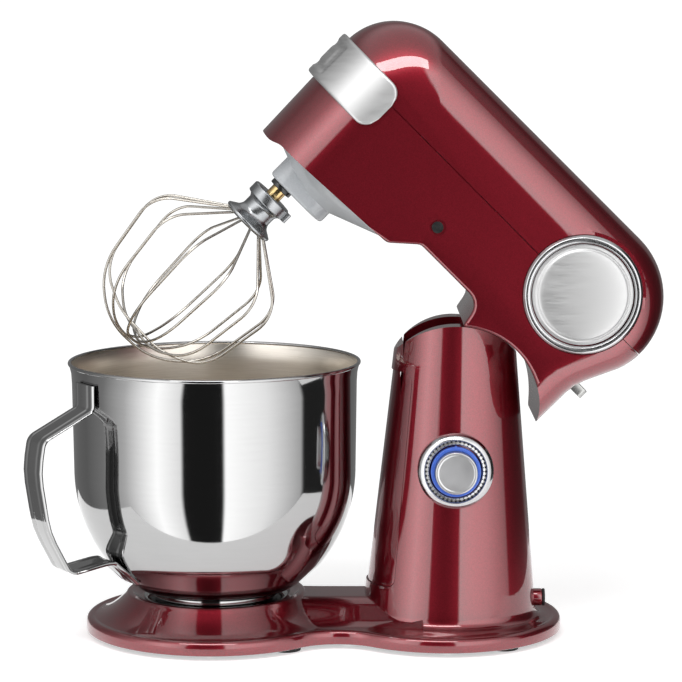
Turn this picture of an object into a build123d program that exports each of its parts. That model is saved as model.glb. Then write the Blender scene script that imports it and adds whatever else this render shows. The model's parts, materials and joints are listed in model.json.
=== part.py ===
"""Tilt-head stand mixer: base with column, tilting head, planetary drive, whisk and bowl.

Frame: +Z up, +X towards the back of the mixer, origin on the table at the middle of the whole
mixer. Millimetres. The head is drawn level, as it sits when it is closed, and is stored tilted
back on its pivot by open_angle.
"""
import os
from math import cos, degrees, pi, radians, sin, sqrt, tan

from build123d import *

os.makedirs("parts", exist_ok=True)

# ---- driving dimensions ---------------------------------------------------------------------
pivot_x, pivot_z = 84.5, 178.5      # tilt axle, across the mixer
open_angle = 45.0                   # how far back the head is stored
bowl_x = -94.5                      # bowl axis, and the mixing axis of the closed head

base_floor = 3.5                    # underside of the base casting, above the table
lip_top = 14.0                      # top of the base's outer lip
lip_round = 2.5
root_depth = 4.0                    # how far raised shapes reach down into what carries them
through = 100.0                     # half length of cuts that pass through the whole mixer
bowl_end_radius = 97.8
column_end_x, column_end_radius = 77.0, 89.0
waist_radius, waist_x, waist_y = 40.5, -2.2, 102.5
casting_wall = 3.5

seat_z = 27.0                       # where the bowl's foot ring stands
platform_radius, platform_z = 66.5, 31.5

column_foot = (81.5, 65.5, 53.0)    # centre x, half length, half width at the lip
column_head = (85.5, 43.5, 41.0)    # the same where the column would reach column_peak
column_peak = 236.0
column_wall = 4.0
column_crown = 57.5                 # radius of the column's top about the pivot
skirt_radius = 60.0                 # radius of the head's skirt about the pivot
cheek_gap = 22.5                    # half the slot between the column's cheeks
cheek_plate = 5.0
axle_radius = 5.0
cheek_boss = 12.0                   # length of the cheek's bearing boss
dial_z = 130.5
cord_z = 25.0
lock_plate_half = 3.0               # half thickness of the lock plate and the lever's arm

head_half_width = 60.0
head_wall = 3.0
head_top_z, parting_z, neck_z = 358.0, 299.0, 243.7
nose_arc_x, nose_arc_z, nose_arc_radius = -110.5, 309.0, 49.0
tail_arc_x, tail_arc_z, tail_arc_radius = 95.0, 301.0, 58.0
shoulder_radius = 36.0              # rounding along the barrel's top edges
nose_plan_x = -104.5                # where the nose starts to round in plan
nose_plan_length = 55.0

cap_x, cap_z = 89.5, 301.0
cap_ring_radius, cap_disc_radius = 43.4, 36.8

cover_low, cover_high, cover_back = 273.5, 311.7, -105.5
shaft_z = 287.0                     # layshaft and front outlet
motor_z = 324.0

dish_radius, dish_rim_z = 56.5, 226.0
block_low_z = 200.0
orbit = 22.5                        # beater axis to mixing axis
beater_x = bowl_x - orbit

bowl_rim_radius, bowl_rim_z = 108.4, 205.0
bowl_belly_radius, bowl_belly_z = 112.0, 125.0
bowl_wall = 1.0
foot_ring_radius = 54.5
handle_angle = 212.0                # direction the handle points, from +X towards +Y
handle_width, handle_thickness = 29.0, 2.5

wire_radius = 0.95
screw_radius = 1.6
running_gap = 0.06                  # radial clearance of a shaft in its bearing
part_gap = 0.3                      # clearance between bodies that pass each other

# ---- shared frames and shapes ---------------------------------------------------------------
head_tilt = Location((pivot_x, 0, pivot_z), (0, open_angle, 0)) * Location((-pivot_x, 0, -pivot_z))


def in_head(plane):
    """A plane given for the closed head, moved to where the tilted head holds it."""
    return Plane(head_tilt * plane.location)


def head_level(z, x=0.0, y=0.0):
    """Horizontal plane of the closed head; local x and y are the mixer's."""
    return in_head(Plane(origin=(x, y, z)))


def head_side(y=0.0):
    """Upright lengthwise plane of the closed head, facing -Y; local x and y are X and Z."""
    return in_head(Plane(origin=(0, y, 0), x_dir=(1, 0, 0), z_dir=(0, -1, 0)))


def head_cross(x, z=0.0):
    """Upright crosswise plane of the closed head, facing +X; local x and y are Y and Z."""
    return in_head(Plane(origin=(x, 0, z), x_dir=(0, 1, 0), z_dir=(1, 0, 0)))


def upright_axis(x):
    """Vertical axis of the closed head at x."""
    plane = head_level(0, x)
    return Axis(plane.origin, plane.z_dir)


def about_pivot(radius, angle):
    """Point at a radius and angle about the tilt axle, in X and Z."""
    return (pivot_x + radius * cos(radians(angle)), pivot_z + radius * sin(radians(angle)))


def column_clip(radius):
    """Side view of everything that lies under the column's crown of the given radius."""
    with BuildSketch(Plane.XZ) as clip:
        with Locations((pivot_x, pivot_z)):
            Circle(radius)
        with Locations((pivot_x, pivot_z / 2)):
            Rectangle(2 * through, pivot_z)
    return clip.sketch


def gear_outline(teeth, root, tip, root_share, tip_share, first=0.0):
    """Points round a gear: each tooth's thickness at root and tip is a share of the tooth pitch."""
    step = 2 * pi / teeth
    points = []
    for k in range(teeth):
        middle = radians(first) + k * step
        for radius, share in ((root, -root_share), (tip, -tip_share), (tip, tip_share), (root, root_share)):
            angle = middle + share * step / 2
            points.append((radius * cos(angle), radius * sin(angle)))
    return points


def column_section(z, inset):
    """Half length and half width of the column's oval section at height z, with its centre."""
    share = (z - lip_top) / (column_peak - lip_top)
    centre, half_length, half_width = [a + share * (b - a) for a, b in zip(column_foot, column_head)]
    return centre, half_length - inset, half_width - inset


def base_outline(inset):
    """Plan of the base: two round ends joined by the hollow arcs of a waist."""
    front_share = (waist_x - bowl_x) / (bowl_end_radius + waist_radius)
    back_share = (column_end_x - waist_x) / (column_end_radius + waist_radius)
    front_radius, back_radius = bowl_end_radius - inset, column_end_radius - inset
    front = (bowl_x + front_share * front_radius, sqrt(1 - front_share ** 2) * front_radius)
    back = (column_end_x - back_share * back_radius, sqrt(1 - back_share ** 2) * back_radius)
    waist = (waist_x, waist_y - waist_radius - inset)
    with BuildSketch() as outline:
        with BuildLine():
            ThreePointArc((front[0], -front[1]), (bowl_x - front_radius, 0), front)
            ThreePointArc(front, waist, back)
            ThreePointArc(back, (column_end_x + back_radius, 0), (back[0], -back[1]))
            ThreePointArc((back[0], -back[1]), (waist[0], -waist[1]), (front[0], -front[1]))
        make_face()
    return outline.sketch


# ---- base -----------------------------------------------------------------------------------
hollow_foot_z = 8.0                 # lowest section of the column's hollow
cover_plate = 2.0
post_radius = 4.0
cover_screw_places = [(-176, 0), (-95, 82), (-95, -82), (5, 50), (5, -50), (77, 75), (77, -75), (155, 0)]
cheek_floor = 150.0                 # the cheeks are solid plates above this height
cheek_length, cheek_height = 120.0, 100.0

with BuildPart() as column_body:
    for height in (lip_top - root_depth, column_peak):
        centre, half_length, half_width = column_section(height, 0)
        with BuildSketch(Plane.XY.offset(height)):
            with Locations((centre, 0)):
                Ellipse(half_length, half_width)
    loft(ruled=True)
    with BuildSketch(Plane.XZ):
        add(column_clip(column_crown))
    extrude(amount=through, both=True, mode=Mode.INTERSECT)

with BuildPart() as column_hollow:
    for height in (hollow_foot_z, column_peak):
        centre, half_length, half_width = column_section(height, column_wall)
        with BuildSketch(Plane.XY.offset(height)):
            with Locations((centre, 0)):
                Ellipse(half_length, half_width)
    loft(ruled=True)
    with BuildSketch(Plane.XZ):
        add(column_clip(column_crown - column_wall))
    extrude(amount=through, both=True, mode=Mode.INTERSECT)
    for side in (-1, 1):
        with Locations((pivot_x, side * (cheek_gap + cheek_plate / 2), cheek_floor + cheek_height / 2)):
            Box(cheek_length, cheek_plate, cheek_height, mode=Mode.SUBTRACT)
        with BuildSketch(Plane.XZ.offset(-side * cheek_gap)):
            with Locations((pivot_x, pivot_z)):
                Circle(2 * axle_radius)
        extrude(amount=-side * cheek_boss, mode=Mode.SUBTRACT)

panel_low, panel_high = 40.0, 200.0
panel_inset, panel_wall = 1.2, 4.0
panel_foot, panel_head = 20.0, 15.0     # how far the panel wraps round the column's front edge
panel_corner = 7.0
panel_gap = 0.15
front_reach = 10.0                      # how far the opening's outline starts ahead of the column


def panel_region(clearance):
    """Side outline of the column's front opening: it follows the column's front edge."""
    foot, crown = column_section(panel_low, 0), column_section(panel_high, 0)
    with BuildSketch(Plane.XZ) as region:
        with BuildLine():
            Polyline(
                (foot[0] - foot[1] - front_reach, panel_low - clearance),
                (foot[0] - foot[1] + panel_foot + clearance, panel_low - clearance),
                (crown[0] - crown[1] + panel_head + clearance, panel_high + clearance),
                (crown[0] - crown[1] - front_reach, panel_high + clearance),
                close=True,
            )
        make_face()
        fillet(region.vertices().sort_by(Axis.X)[-2:], panel_corner)
    return region.sketch


seat_radius = foot_ring_radius + 1.5
platform_edge = (63.5, platform_z - 0.6)    # radius and height where the seat's rim turns down
flare_middle, flare_foot = (79.0, 19.8), (94.0, lip_top - 0.2)
ridge_from, ridge_length = bowl_x + 50, 95.0
ridge_foot, ridge_flank = (52.0, lip_top - 1), (34.0, 19.0)     # half widths and heights
ridge_shoulder, ridge_top = (24.0, 26.0), (18.0, 29.5)
foot_step, foot_step_height = 2.5, 2.0
cord_boss_x, cord_boss_length, cord_boss_radius = 130.0, 22.0, 6.5
gland_radius, cord_radius = 4.5, 3.5
gland_x, gland_length, gland_flange = 136.0, 16.0, 2.0
channel_width = 36.0                # wiring channel under the ridge
slot_length, slot_height = 81.0, 124.0
slot_centre = (pivot_x + 2, 0, pivot_z + 40)
dial_hole_radius = 16.0

with BuildPart() as base_casting:
    with BuildSketch(Plane.XY.offset(base_floor)):
        add(base_outline(0))
    extrude(amount=lip_top - lip_round - base_floor)
    for height, inset in ((lip_top - lip_round, 0), (lip_top, lip_round)):
        with BuildSketch(Plane.XY.offset(height)):
            add(base_outline(inset))
    loft(ruled=True)
    # flared pedestal that carries the bowl
    with BuildSketch(Plane.XZ):
        with BuildLine():
            Polyline(
                (bowl_x - flare_foot[0], flare_foot[1]),
                (bowl_x - flare_foot[0], lip_top - root_depth),
                (bowl_x, lip_top - root_depth),
                (bowl_x, seat_z),
                (bowl_x - seat_radius, seat_z),
                (bowl_x - platform_edge[0], platform_z),
                (bowl_x - platform_radius, platform_edge[1]),
            )
            ThreePointArc((bowl_x - platform_radius, platform_edge[1]),
                          (bowl_x - flare_middle[0], flare_middle[1]),
                          (bowl_x - flare_foot[0], flare_foot[1]))
        make_face()
    revolve(axis=Axis((bowl_x, 0, 0), (0, 0, 1)))
    # ridge from the pedestal to the column
    with BuildSketch(Plane.YZ.offset(ridge_from)):
        with BuildLine():
            Polyline((0, lip_top - root_depth), (ridge_foot[0], lip_top - root_depth), ridge_foot)
            ThreePointArc(ridge_foot, ridge_flank, ridge_shoulder)
            Polyline(ridge_shoulder, ridge_top, (0, ridge_top[1]))
            mirror(about=Plane.YZ)
        make_face()
    extrude(amount=ridge_length)
    # bowl seat is cut clear of the ridge again
    with BuildSketch(Plane.XY.offset(seat_z)):
        with Locations((bowl_x, 0)):
            Circle(seat_radius)
    extrude(amount=platform_z, mode=Mode.SUBTRACT)
    # column with a small step round its foot
    foot_centre, foot_length, foot_width = column_section(lip_top, 0)
    with BuildSketch(Plane.XY.offset(lip_top - root_depth)):
        with Locations((foot_centre, 0)):
            Ellipse(foot_length + foot_step, foot_width + foot_step)
    extrude(amount=root_depth + foot_step_height)
    add(column_body.part)
    # strain relief boss at the back
    with BuildSketch(Plane.YZ.offset(cord_boss_x)):
        with Locations((0, cord_z)):
            Circle(cord_boss_radius)
    extrude(amount=cord_boss_length)
    # hollow underside, column and pedestal
    with BuildSketch(Plane.XY.offset(base_floor)):
        add(base_outline(casting_wall))
    extrude(amount=lip_top - base_floor - casting_wall, mode=Mode.SUBTRACT)
    with BuildSketch(Plane.XY.offset(base_floor)):
        with Locations((bowl_x, 0)):
            Circle(foot_ring_radius)
        with Locations(((bowl_x + pivot_x) / 2, 0)):
            Rectangle(pivot_x - bowl_x, channel_width)
    extrude(amount=seat_z - base_floor - casting_wall, mode=Mode.SUBTRACT)
    add(column_hollow.part, mode=Mode.SUBTRACT)
    # slot for the head's hinge lugs, and the axle's holes
    with Locations(slot_centre):
        Box(slot_length, 2 * cheek_gap, slot_height, mode=Mode.SUBTRACT)
    with BuildSketch(Plane.XZ):
        with Locations((pivot_x, pivot_z)):
            Circle(axle_radius)
    extrude(amount=cheek_gap + cheek_boss, both=True, mode=Mode.SUBTRACT)
    # front opening, dial hole and cord hole
    with BuildSketch(Plane.XZ):
        add(panel_region(panel_gap))
    extrude(amount=through, both=True, mode=Mode.SUBTRACT)
    with BuildSketch(Plane.XZ):
        with Locations((pivot_x, dial_z)):
            Circle(dial_hole_radius)
    extrude(amount=through, mode=Mode.SUBTRACT)
    with BuildSketch(Plane.YZ.offset(cord_boss_x - 5)):
        with Locations((0, cord_z)):
            Circle(gland_radius)
    extrude(amount=2 * cord_boss_length, mode=Mode.SUBTRACT)
    # screw posts for the bottom cover
    with BuildSketch(Plane.XY.offset(base_floor + cover_plate)):
        with Locations(*cover_screw_places):
            Circle(post_radius)
            Circle(screw_radius, mode=Mode.SUBTRACT)
    extrude(amount=lip_top - casting_wall - base_floor - cover_plate + 0.5)
base_casting.part.label = "base_casting"
export_step(base_casting.part, "parts/base_casting.step")

panel_margin = 5.0                  # the panel's blank is longer than the opening by this
slot_floor = 156.5                  # bottom of the hinge slot between the cheeks
with BuildPart() as column_front_panel:
    for height in (panel_low - panel_margin, panel_high + panel_margin):
        centre, half_length, half_width = column_section(height, panel_inset)
        with BuildSketch(Plane.XY.offset(height)):
            with Locations((centre, 0)):
                Ellipse(half_length, half_width)
    loft(ruled=True)
    for height in (panel_low - 2 * panel_margin, panel_high + 2 * panel_margin):
        centre, half_length, half_width = column_section(height, panel_inset + panel_wall)
        with BuildSketch(Plane.XY.offset(height)):
            with Locations((centre, 0)):
                Ellipse(half_length, half_width)
    loft(ruled=True, mode=Mode.SUBTRACT)
    with BuildSketch(Plane.XZ):
        add(panel_region(0))
    extrude(amount=through, both=True, mode=Mode.INTERSECT)
    with Locations((pivot_x, 0, slot_floor + slot_height / 2)):
        Box(slot_length, 2 * cheek_gap, slot_height, mode=Mode.SUBTRACT)
column_front_panel.part.label = "column_front_panel"
export_step(column_front_panel.part, "parts/column_front_panel.step")

with BuildPart() as bottom_cover:
    with BuildSketch(Plane.XY.offset(base_floor)):
        add(base_outline(casting_wall + 0.2))
        with Locations(*cover_screw_places):
            Circle(screw_radius + part_gap, mode=Mode.SUBTRACT)
    extrude(amount=cover_plate)
bottom_cover.part.label = "bottom_cover"
export_step(bottom_cover.part, "parts/bottom_cover.step")

cover_screw_head, cover_screw_length = 1.4, 6.5
with BuildPart() as bottom_screws:
    with BuildSketch(Plane.XY.offset(base_floor)):
        with Locations(*cover_screw_places):
            Circle(2 * screw_radius)
    extrude(amount=-cover_screw_head)
    with BuildSketch(Plane.XY.offset(base_floor)):
        with Locations(*cover_screw_places):
            Circle(screw_radius)
    extrude(amount=cover_screw_length)
bottom_screws.part.label = "bottom_screws"
export_step(bottom_screws.part, "parts/bottom_screws.step")

foot_places = [(-158, 38), (-158, -38), (-40, 62), (-40, -62), (120, 58), (120, -58)]
foot_radius, foot_taper = 11.0, 8.0
with BuildPart() as rubber_feet:
    with BuildSketch(Plane.XY.offset(base_floor)):
        with Locations(*foot_places):
            Circle(foot_radius)
    extrude(amount=-base_floor, taper=foot_taper)
rubber_feet.part.label = "rubber_feet"
export_step(rubber_feet.part, "parts/rubber_feet.step")

# ---- bowl seat ------------------------------------------------------------------------------
clamp_tab_radius, clamp_tab_z, clamp_tab_wall = 42.0, 31.0, 1.4
tab_half_angle, lug_half_angle = 18.0, 14.0
clamp_radius, clamp_hub_radius, clamp_floor = 36.0, 31.0, 1.6
clamp_screw_circle, clamp_screw_radius, clamp_screw_head = 18.0, 4.0, 3.0


def ring_sectors(inner, outer, half_angle):
    """Three equal ring pieces about the bowl axis, the first one pointing at the column."""
    with BuildSketch() as sectors:
        with Locations((bowl_x, 0)):
            Circle(outer)
            Circle(inner, mode=Mode.SUBTRACT)
        with BuildSketch(mode=Mode.INTERSECT):
            with Locations(*[Location((bowl_x, 0), turn) for turn in (0, 120, 240)]):
                reach = 2 * outer
                spread = reach * tan(radians(half_angle))
                Polygon((0, 0), (reach, -spread), (reach, spread), align=None)
    return sectors.sketch


with BuildPart() as bowl_clamp_plate:
    with BuildSketch(Plane.XY.offset(seat_z)):
        with Locations((bowl_x, 0)):
            Circle(clamp_radius)
    extrude(amount=clamp_floor)
    with BuildSketch(Plane.XY.offset(seat_z)):
        with Locations((bowl_x, 0)):
            Circle(clamp_hub_radius)
    extrude(amount=clamp_tab_z - seat_z)
    with BuildSketch(Plane.XY.offset(clamp_tab_z)):
        with Locations((bowl_x, 0)):
            Circle(clamp_hub_radius)
        add(ring_sectors(clamp_hub_radius - 1, clamp_tab_radius, tab_half_angle))
    extrude(amount=clamp_tab_wall)
    with BuildSketch(Plane.XY.offset(seat_z)):
        with Locations((bowl_x, 0)):
            with PolarLocations(clamp_screw_circle, 4, start_angle=45):
                Circle(clamp_screw_radius)
    extrude(amount=clamp_tab_z, mode=Mode.SUBTRACT)
bowl_clamp_plate.part.label = "bowl_clamp_plate"
export_step(bowl_clamp_plate.part, "parts/bowl_clamp_plate.step")

with BuildPart() as clamp_screws:
    with BuildSketch(Plane.XY.offset(seat_z)):
        with Locations((bowl_x, 0)):
            with PolarLocations(clamp_screw_circle, 4, start_angle=45):
                Circle(clamp_screw_radius)
    extrude(amount=clamp_screw_head)
clamp_screws.part.label = "clamp_screws"
export_step(clamp_screws.part, "parts/clamp_screws.step")

with BuildPart() as cord_gland:
    with BuildSketch(Plane.YZ.offset(gland_x)):
        with Locations((0, cord_z)):
            Circle(gland_radius)
            Circle(cord_radius, mode=Mode.SUBTRACT)
    extrude(amount=gland_length)
    with BuildSketch(Plane.YZ.offset(gland_x + gland_length)):
        with Locations((0, cord_z)):
            Circle(cord_boss_radius)
            Circle(cord_radius, mode=Mode.SUBTRACT)
    extrude(amount=gland_flange)
cord_gland.part.label = "cord_gland"
export_step(cord_gland.part, "parts/cord_gland.step")

# ---- tilt hinge -----------------------------------------------------------------------------
with BuildPart() as tilt_axle:
    with BuildSketch(Plane.XZ):
        with Locations((pivot_x, pivot_z)):
            Circle(axle_radius)
    extrude(amount=cheek_gap + cheek_boss, both=True)
tilt_axle.part.label = "tilt_axle"
export_step(tilt_axle.part, "parts/tilt_axle.step")

lock_plate_radius = 46.0
lock_hub_radius, notch_radius = 10.0, 4.2
pawl_angle = 92.5                   # where the pawl meets the plate with the head closed
with BuildPart() as lock_plate:
    with BuildSketch(Plane.XZ):
        with Locations((pivot_x, pivot_z)):
            Circle(lock_hub_radius)
        Polygon(about_pivot(lock_hub_radius, 0),
                *[about_pivot(lock_plate_radius, angle) for angle in (28, 52, 76, 100)],
                about_pivot(lock_hub_radius, 140), align=None)
        with BuildSketch(mode=Mode.SUBTRACT):
            for angle in (pawl_angle - open_angle, pawl_angle):
                with Locations(about_pivot(lock_plate_radius, angle)):
                    Circle(notch_radius)
        with Locations((pivot_x, pivot_z)):
            Circle(axle_radius, mode=Mode.SUBTRACT)
    extrude(amount=lock_plate_half, both=True)
lock_plate.part.label = "lock_plate"
export_step(lock_plate.part, "parts/lock_plate.step")

# ---- speed dial -----------------------------------------------------------------------------
dial_draft = degrees(1 / ((column_peak - lip_top) / (column_foot[2] - column_head[2])))
dial_surface_y = -column_section(dial_z, 0)[2]


def dial_plane(stand_off):
    """Plane of the dial's face, a given distance in front of the column's side."""
    face = Plane(origin=(pivot_x - 0.5, dial_surface_y, dial_z), x_dir=(1, 0, 0),
                 z_dir=(0, -cos(radians(dial_draft)), sin(radians(dial_draft))))
    return face.offset(stand_off)


bezel_outer, bezel_inner, bezel_front = 27.9, 22.6, 8.0
dial_root = 9.0                     # how far the dial's rings reach back before they meet the column
scale_front, scale_inner = 6.0, 19.4
scale_marks, mark_circle = 36, 21.0
knob_back, skirt_thickness, light_radius = 1.2, 2.0, 18.4
stem_radius, stem_length = 3.0, 14.0
light_depth = 7.0
encoder_back, encoder_body, encoder_size = -16.0, 7.0, 15.0
board_size, board_thickness = (56.0, 74.0), 1.6
chip_size, chip_height, chip_pitch = (11.0, 14.0), 7.0, (20.0, 24.0)
stud_radius, stud_length, stud_pitch = 3.0, 9.0, (46.0, 62.0)
with BuildPart() as dial_bezel:
    with BuildSketch(dial_plane(bezel_front)):
        Circle(bezel_outer)
    extrude(amount=-bezel_front - dial_root)
    fillet(dial_bezel.faces().sort_by(Axis.Y)[0].edges(), 3.5)
    with BuildSketch(dial_plane(bezel_front + 1)):
        Circle(bezel_inner)
    extrude(amount=-through, mode=Mode.SUBTRACT)
    add(column_body.part, mode=Mode.SUBTRACT)
dial_bezel.part.label = "dial_bezel"
export_step(dial_bezel.part, "parts/dial_bezel.step")

with BuildPart() as dial_scale_ring:
    with BuildSketch(dial_plane(scale_front)):
        Circle(bezel_inner)
        Circle(scale_inner, mode=Mode.SUBTRACT)
    extrude(amount=-scale_front - dial_root + 1)
    add(column_body.part, mode=Mode.SUBTRACT)
    with BuildSketch(dial_plane(scale_front)):
        with PolarLocations(mark_circle, scale_marks):
            SlotOverall(1.8, 0.9)
    extrude(amount=-1, mode=Mode.SUBTRACT)
dial_scale_ring.part.label = "dial_scale_ring"
export_step(dial_scale_ring.part, "parts/dial_scale_ring.step")

knob_radius, knob_front = 15.4, 19.5
with BuildPart() as dial_knob:
    with BuildSketch(dial_plane(knob_back)):
        Circle(light_radius)
    extrude(amount=skirt_thickness)
    with BuildSketch(dial_plane(knob_back + skirt_thickness)):
        Circle(knob_radius)
    extrude(amount=knob_front - knob_back - skirt_thickness)
    fillet(dial_knob.faces().sort_by(Axis.Y)[0].edges(), 1.6)
    with BuildSketch(dial_plane(knob_back)):
        Circle(stem_radius)
    extrude(amount=-stem_length)
dial_knob.part.label = "dial_knob"
export_step(dial_knob.part, "parts/dial_knob.step")

with BuildPart() as dial_light_ring:
    with BuildSketch(dial_plane(knob_back + skirt_thickness)):
        Circle(light_radius)
        # pointer at the top of the ring
        with Locations((0, light_radius - 0.5)):
            Rectangle(2.4, 2.2)
        Circle(knob_radius, mode=Mode.SUBTRACT)
    extrude(amount=light_depth)
dial_light_ring.part.label = "dial_light_ring"
export_step(dial_light_ring.part, "parts/dial_light_ring.step")

with BuildPart() as speed_encoder:
    with BuildSketch(dial_plane(encoder_back)):
        Rectangle(encoder_size, encoder_size)
        Circle(stem_radius + running_gap, mode=Mode.SUBTRACT)
    extrude(amount=encoder_body)
    with BuildSketch(dial_plane(encoder_back + encoder_body)):
        Circle(stem_radius + 2)
        Circle(stem_radius + running_gap, mode=Mode.SUBTRACT)
    extrude(amount=encoder_body)
speed_encoder.part.label = "speed_encoder"
export_step(speed_encoder.part, "parts/speed_encoder.step")

with BuildPart() as control_board:
    with BuildSketch(dial_plane(encoder_back)):
        RectangleRounded(*board_size, 3)
    extrude(amount=-board_thickness)
    with BuildSketch(dial_plane(encoder_back - board_thickness)):
        with GridLocations(*chip_pitch, 2, 2):
            Rectangle(*chip_size)
    extrude(amount=-chip_height)
    with BuildSketch(dial_plane(encoder_back)):
        with GridLocations(*stud_pitch, 2, 2):
            Circle(stud_radius)
    extrude(amount=stud_length)
    add(base_casting.part, mode=Mode.SUBTRACT)
control_board.part.label = "control_board"
export_step(control_board.part, "parts/control_board.step")

# ---- bowl -----------------------------------------------------------------------------------
bowl_floor_z = 33.0
bowl_widest = 105.5                 # radius where the belly's arc ends
belly_centre_r = bowl_widest - bowl_belly_radius
floor_corner = 24.0
throat_low, throat_high = (106.4, 190.0), (106.9, 198.0)    # radius and height below the rim's flare
rim_bead = 1.5


def bowl_body(inset, top):
    """Solid of the bowl's shape up to a height, taken in by inset."""
    reach = bowl_belly_radius - inset
    floor = bowl_floor_z + inset
    edge = (bowl_x - belly_centre_r - sqrt(reach ** 2 - (bowl_belly_z - floor) ** 2), floor)
    middle = (bowl_x - belly_centre_r - reach * cos(radians(40)), bowl_belly_z - reach * sin(radians(40)))
    belly = (bowl_x - belly_centre_r - reach, bowl_belly_z)
    low, high = [(bowl_x - radius + inset, z) for radius, z in (throat_low, throat_high)]
    rim = (bowl_x - bowl_rim_radius + inset, bowl_rim_z)
    with BuildPart() as body:
        with BuildSketch(Plane.XZ) as section:
            with BuildLine():
                Polyline((bowl_x, top), (bowl_x, floor), edge)
                ThreePointArc(edge, middle, belly)
                Line(belly, low)
                ThreePointArc(low, high, rim)
                Polyline(rim, (rim[0], top), (bowl_x, top))
            make_face()
            corner = section.vertices().sort_by_distance(Vector(*edge))[0]
            fillet(corner, floor_corner - inset)
        revolve(axis=Axis((bowl_x, 0, 0), (0, 0, 1)))
    return body.part


bowl_outside = bowl_body(0, bowl_rim_z + 0.01)
with BuildPart() as bowl_shell:
    add(bowl_outside)
    add(bowl_body(bowl_wall, bowl_rim_z + 5), mode=Mode.SUBTRACT)
    with BuildSketch(Plane.XZ):
        with Locations((bowl_x - bowl_rim_radius + 0.2, bowl_rim_z)):
            Circle(rim_bead)
    revolve(axis=Axis((bowl_x, 0, 0), (0, 0, 1)))
bowl_shell.part.label = "bowl_shell"
export_step(bowl_shell.part, "parts/bowl_shell.step")

foot_ring_inner, foot_ring_top = 46.0, 38.0
with BuildPart() as bowl_foot_ring:
    with BuildSketch(Plane.XZ):
        Polygon((bowl_x - foot_ring_radius, seat_z), (bowl_x - foot_ring_inner, seat_z),
                (bowl_x - foot_ring_inner, foot_ring_top), (bowl_x - foot_ring_inner - 2, foot_ring_top),
                (bowl_x - foot_ring_inner - 2, seat_z + 2.6),
                (bowl_x - foot_ring_radius + 1, seat_z + 1.8), (bowl_x - foot_ring_radius, seat_z + 1.3),
                align=None)
    revolve(axis=Axis((bowl_x, 0, 0), (0, 0, 1)))
    with BuildSketch(Plane.XY.offset(clamp_tab_z - 0.4)):
        add(ring_sectors(38.5, foot_ring_inner + 0.5, lug_half_angle))
    extrude(amount=-1.7)
    add(bowl_outside, mode=Mode.SUBTRACT)
bowl_foot_ring.part.label = "bowl_foot_ring"
export_step(bowl_foot_ring.part, "parts/bowl_foot_ring.step")

handle_side = Plane(origin=(bowl_x, 0, 0),
                    x_dir=(cos(radians(handle_angle)), sin(radians(handle_angle)), 0),
                    z_dir=(sin(radians(handle_angle)), -cos(radians(handle_angle)), 0))
handle_path = [(108, 190), (108, 178), (147, 159), (151, 136), (144, 92), (127, 59.5),
               (98, 64), (91.5, 64), (73, 46.5)]
handle_bends = [5, 9, 60, 60, 7, 20, 5]
plate_low, plate_height = 174.0, 24.0
plate_outer, plate_inner, plate_half_width = 109.4, 105.0, 17.5
with BuildPart() as bowl_handle:
    with BuildSketch(handle_side):
        with BuildLine():
            strap = FilletPolyline(*handle_path, radius=handle_bends)
            offset(strap, handle_thickness / 2, kind=Kind.INTERSECTION, side=Side.BOTH)
        make_face()
    extrude(amount=handle_width / 2, both=True)
    with BuildSketch(Plane.XY.offset(plate_low)):
        with Locations((bowl_x, 0)):
            Circle(plate_outer)
            Circle(plate_inner, mode=Mode.SUBTRACT)
        with BuildSketch(mode=Mode.INTERSECT):
            with Locations(Location((bowl_x, 0), handle_angle)):
                Polygon((0, 0), (120, -plate_half_width), (120, plate_half_width), align=None)
    extrude(amount=plate_height)
    add(bowl_outside, mode=Mode.SUBTRACT)
bowl_handle.part.label = "bowl_handle"
export_step(bowl_handle.part, "parts/bowl_handle.step")

# ---- head shells ----------------------------------------------------------------------------
tail_end = (tail_arc_x + tail_arc_radius * cos(radians(20)), tail_arc_z - tail_arc_radius * sin(radians(20)))
tail_wall_x = 135.0
nose_corner, nose_tip, chin_rise = (-149.0, 218.5), (-156.8, 222.0), (-37.0, 227.5)
chin_front, neck_start = (-141.0, 222.4), -19.0
skirt_front, skirt_rear = about_pivot(skirt_radius, 132.4), about_pivot(skirt_radius, 39)
skirt_middle = about_pivot(skirt_radius, 90)
chin_radius, chin_cut = 57.0, 34.0
outlet_radius = 15.0
ahead_of_nose, outlet_cut = -170.0, 30.0
cap_seat_y, cap_seat_wall = 56.5, 3.5
cap_seat_rim, cap_ring_gap = 2.6, 0.4
tail_corner = 22.0                  # rounding of the tail's corners in plan
head_low = 200.0                    # below every part of the head's shells
head_plan_length = 258.0            # from the nose's ellipse to beyond the tail
side_screw_x, side_screw_z = -19.3, 261.2
side_screw_hole, side_recess, side_recess_depth = 2.0, 6.0, 1.8
post_outer, neck_recess, neck_screw_depth = 4.5, 4.0, 12.0
post_height, post_pilot = 60.0, 12.0
neck_screw_places = [(24, 42), (24, -42), (-3, 42), (-3, -42)]


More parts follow.
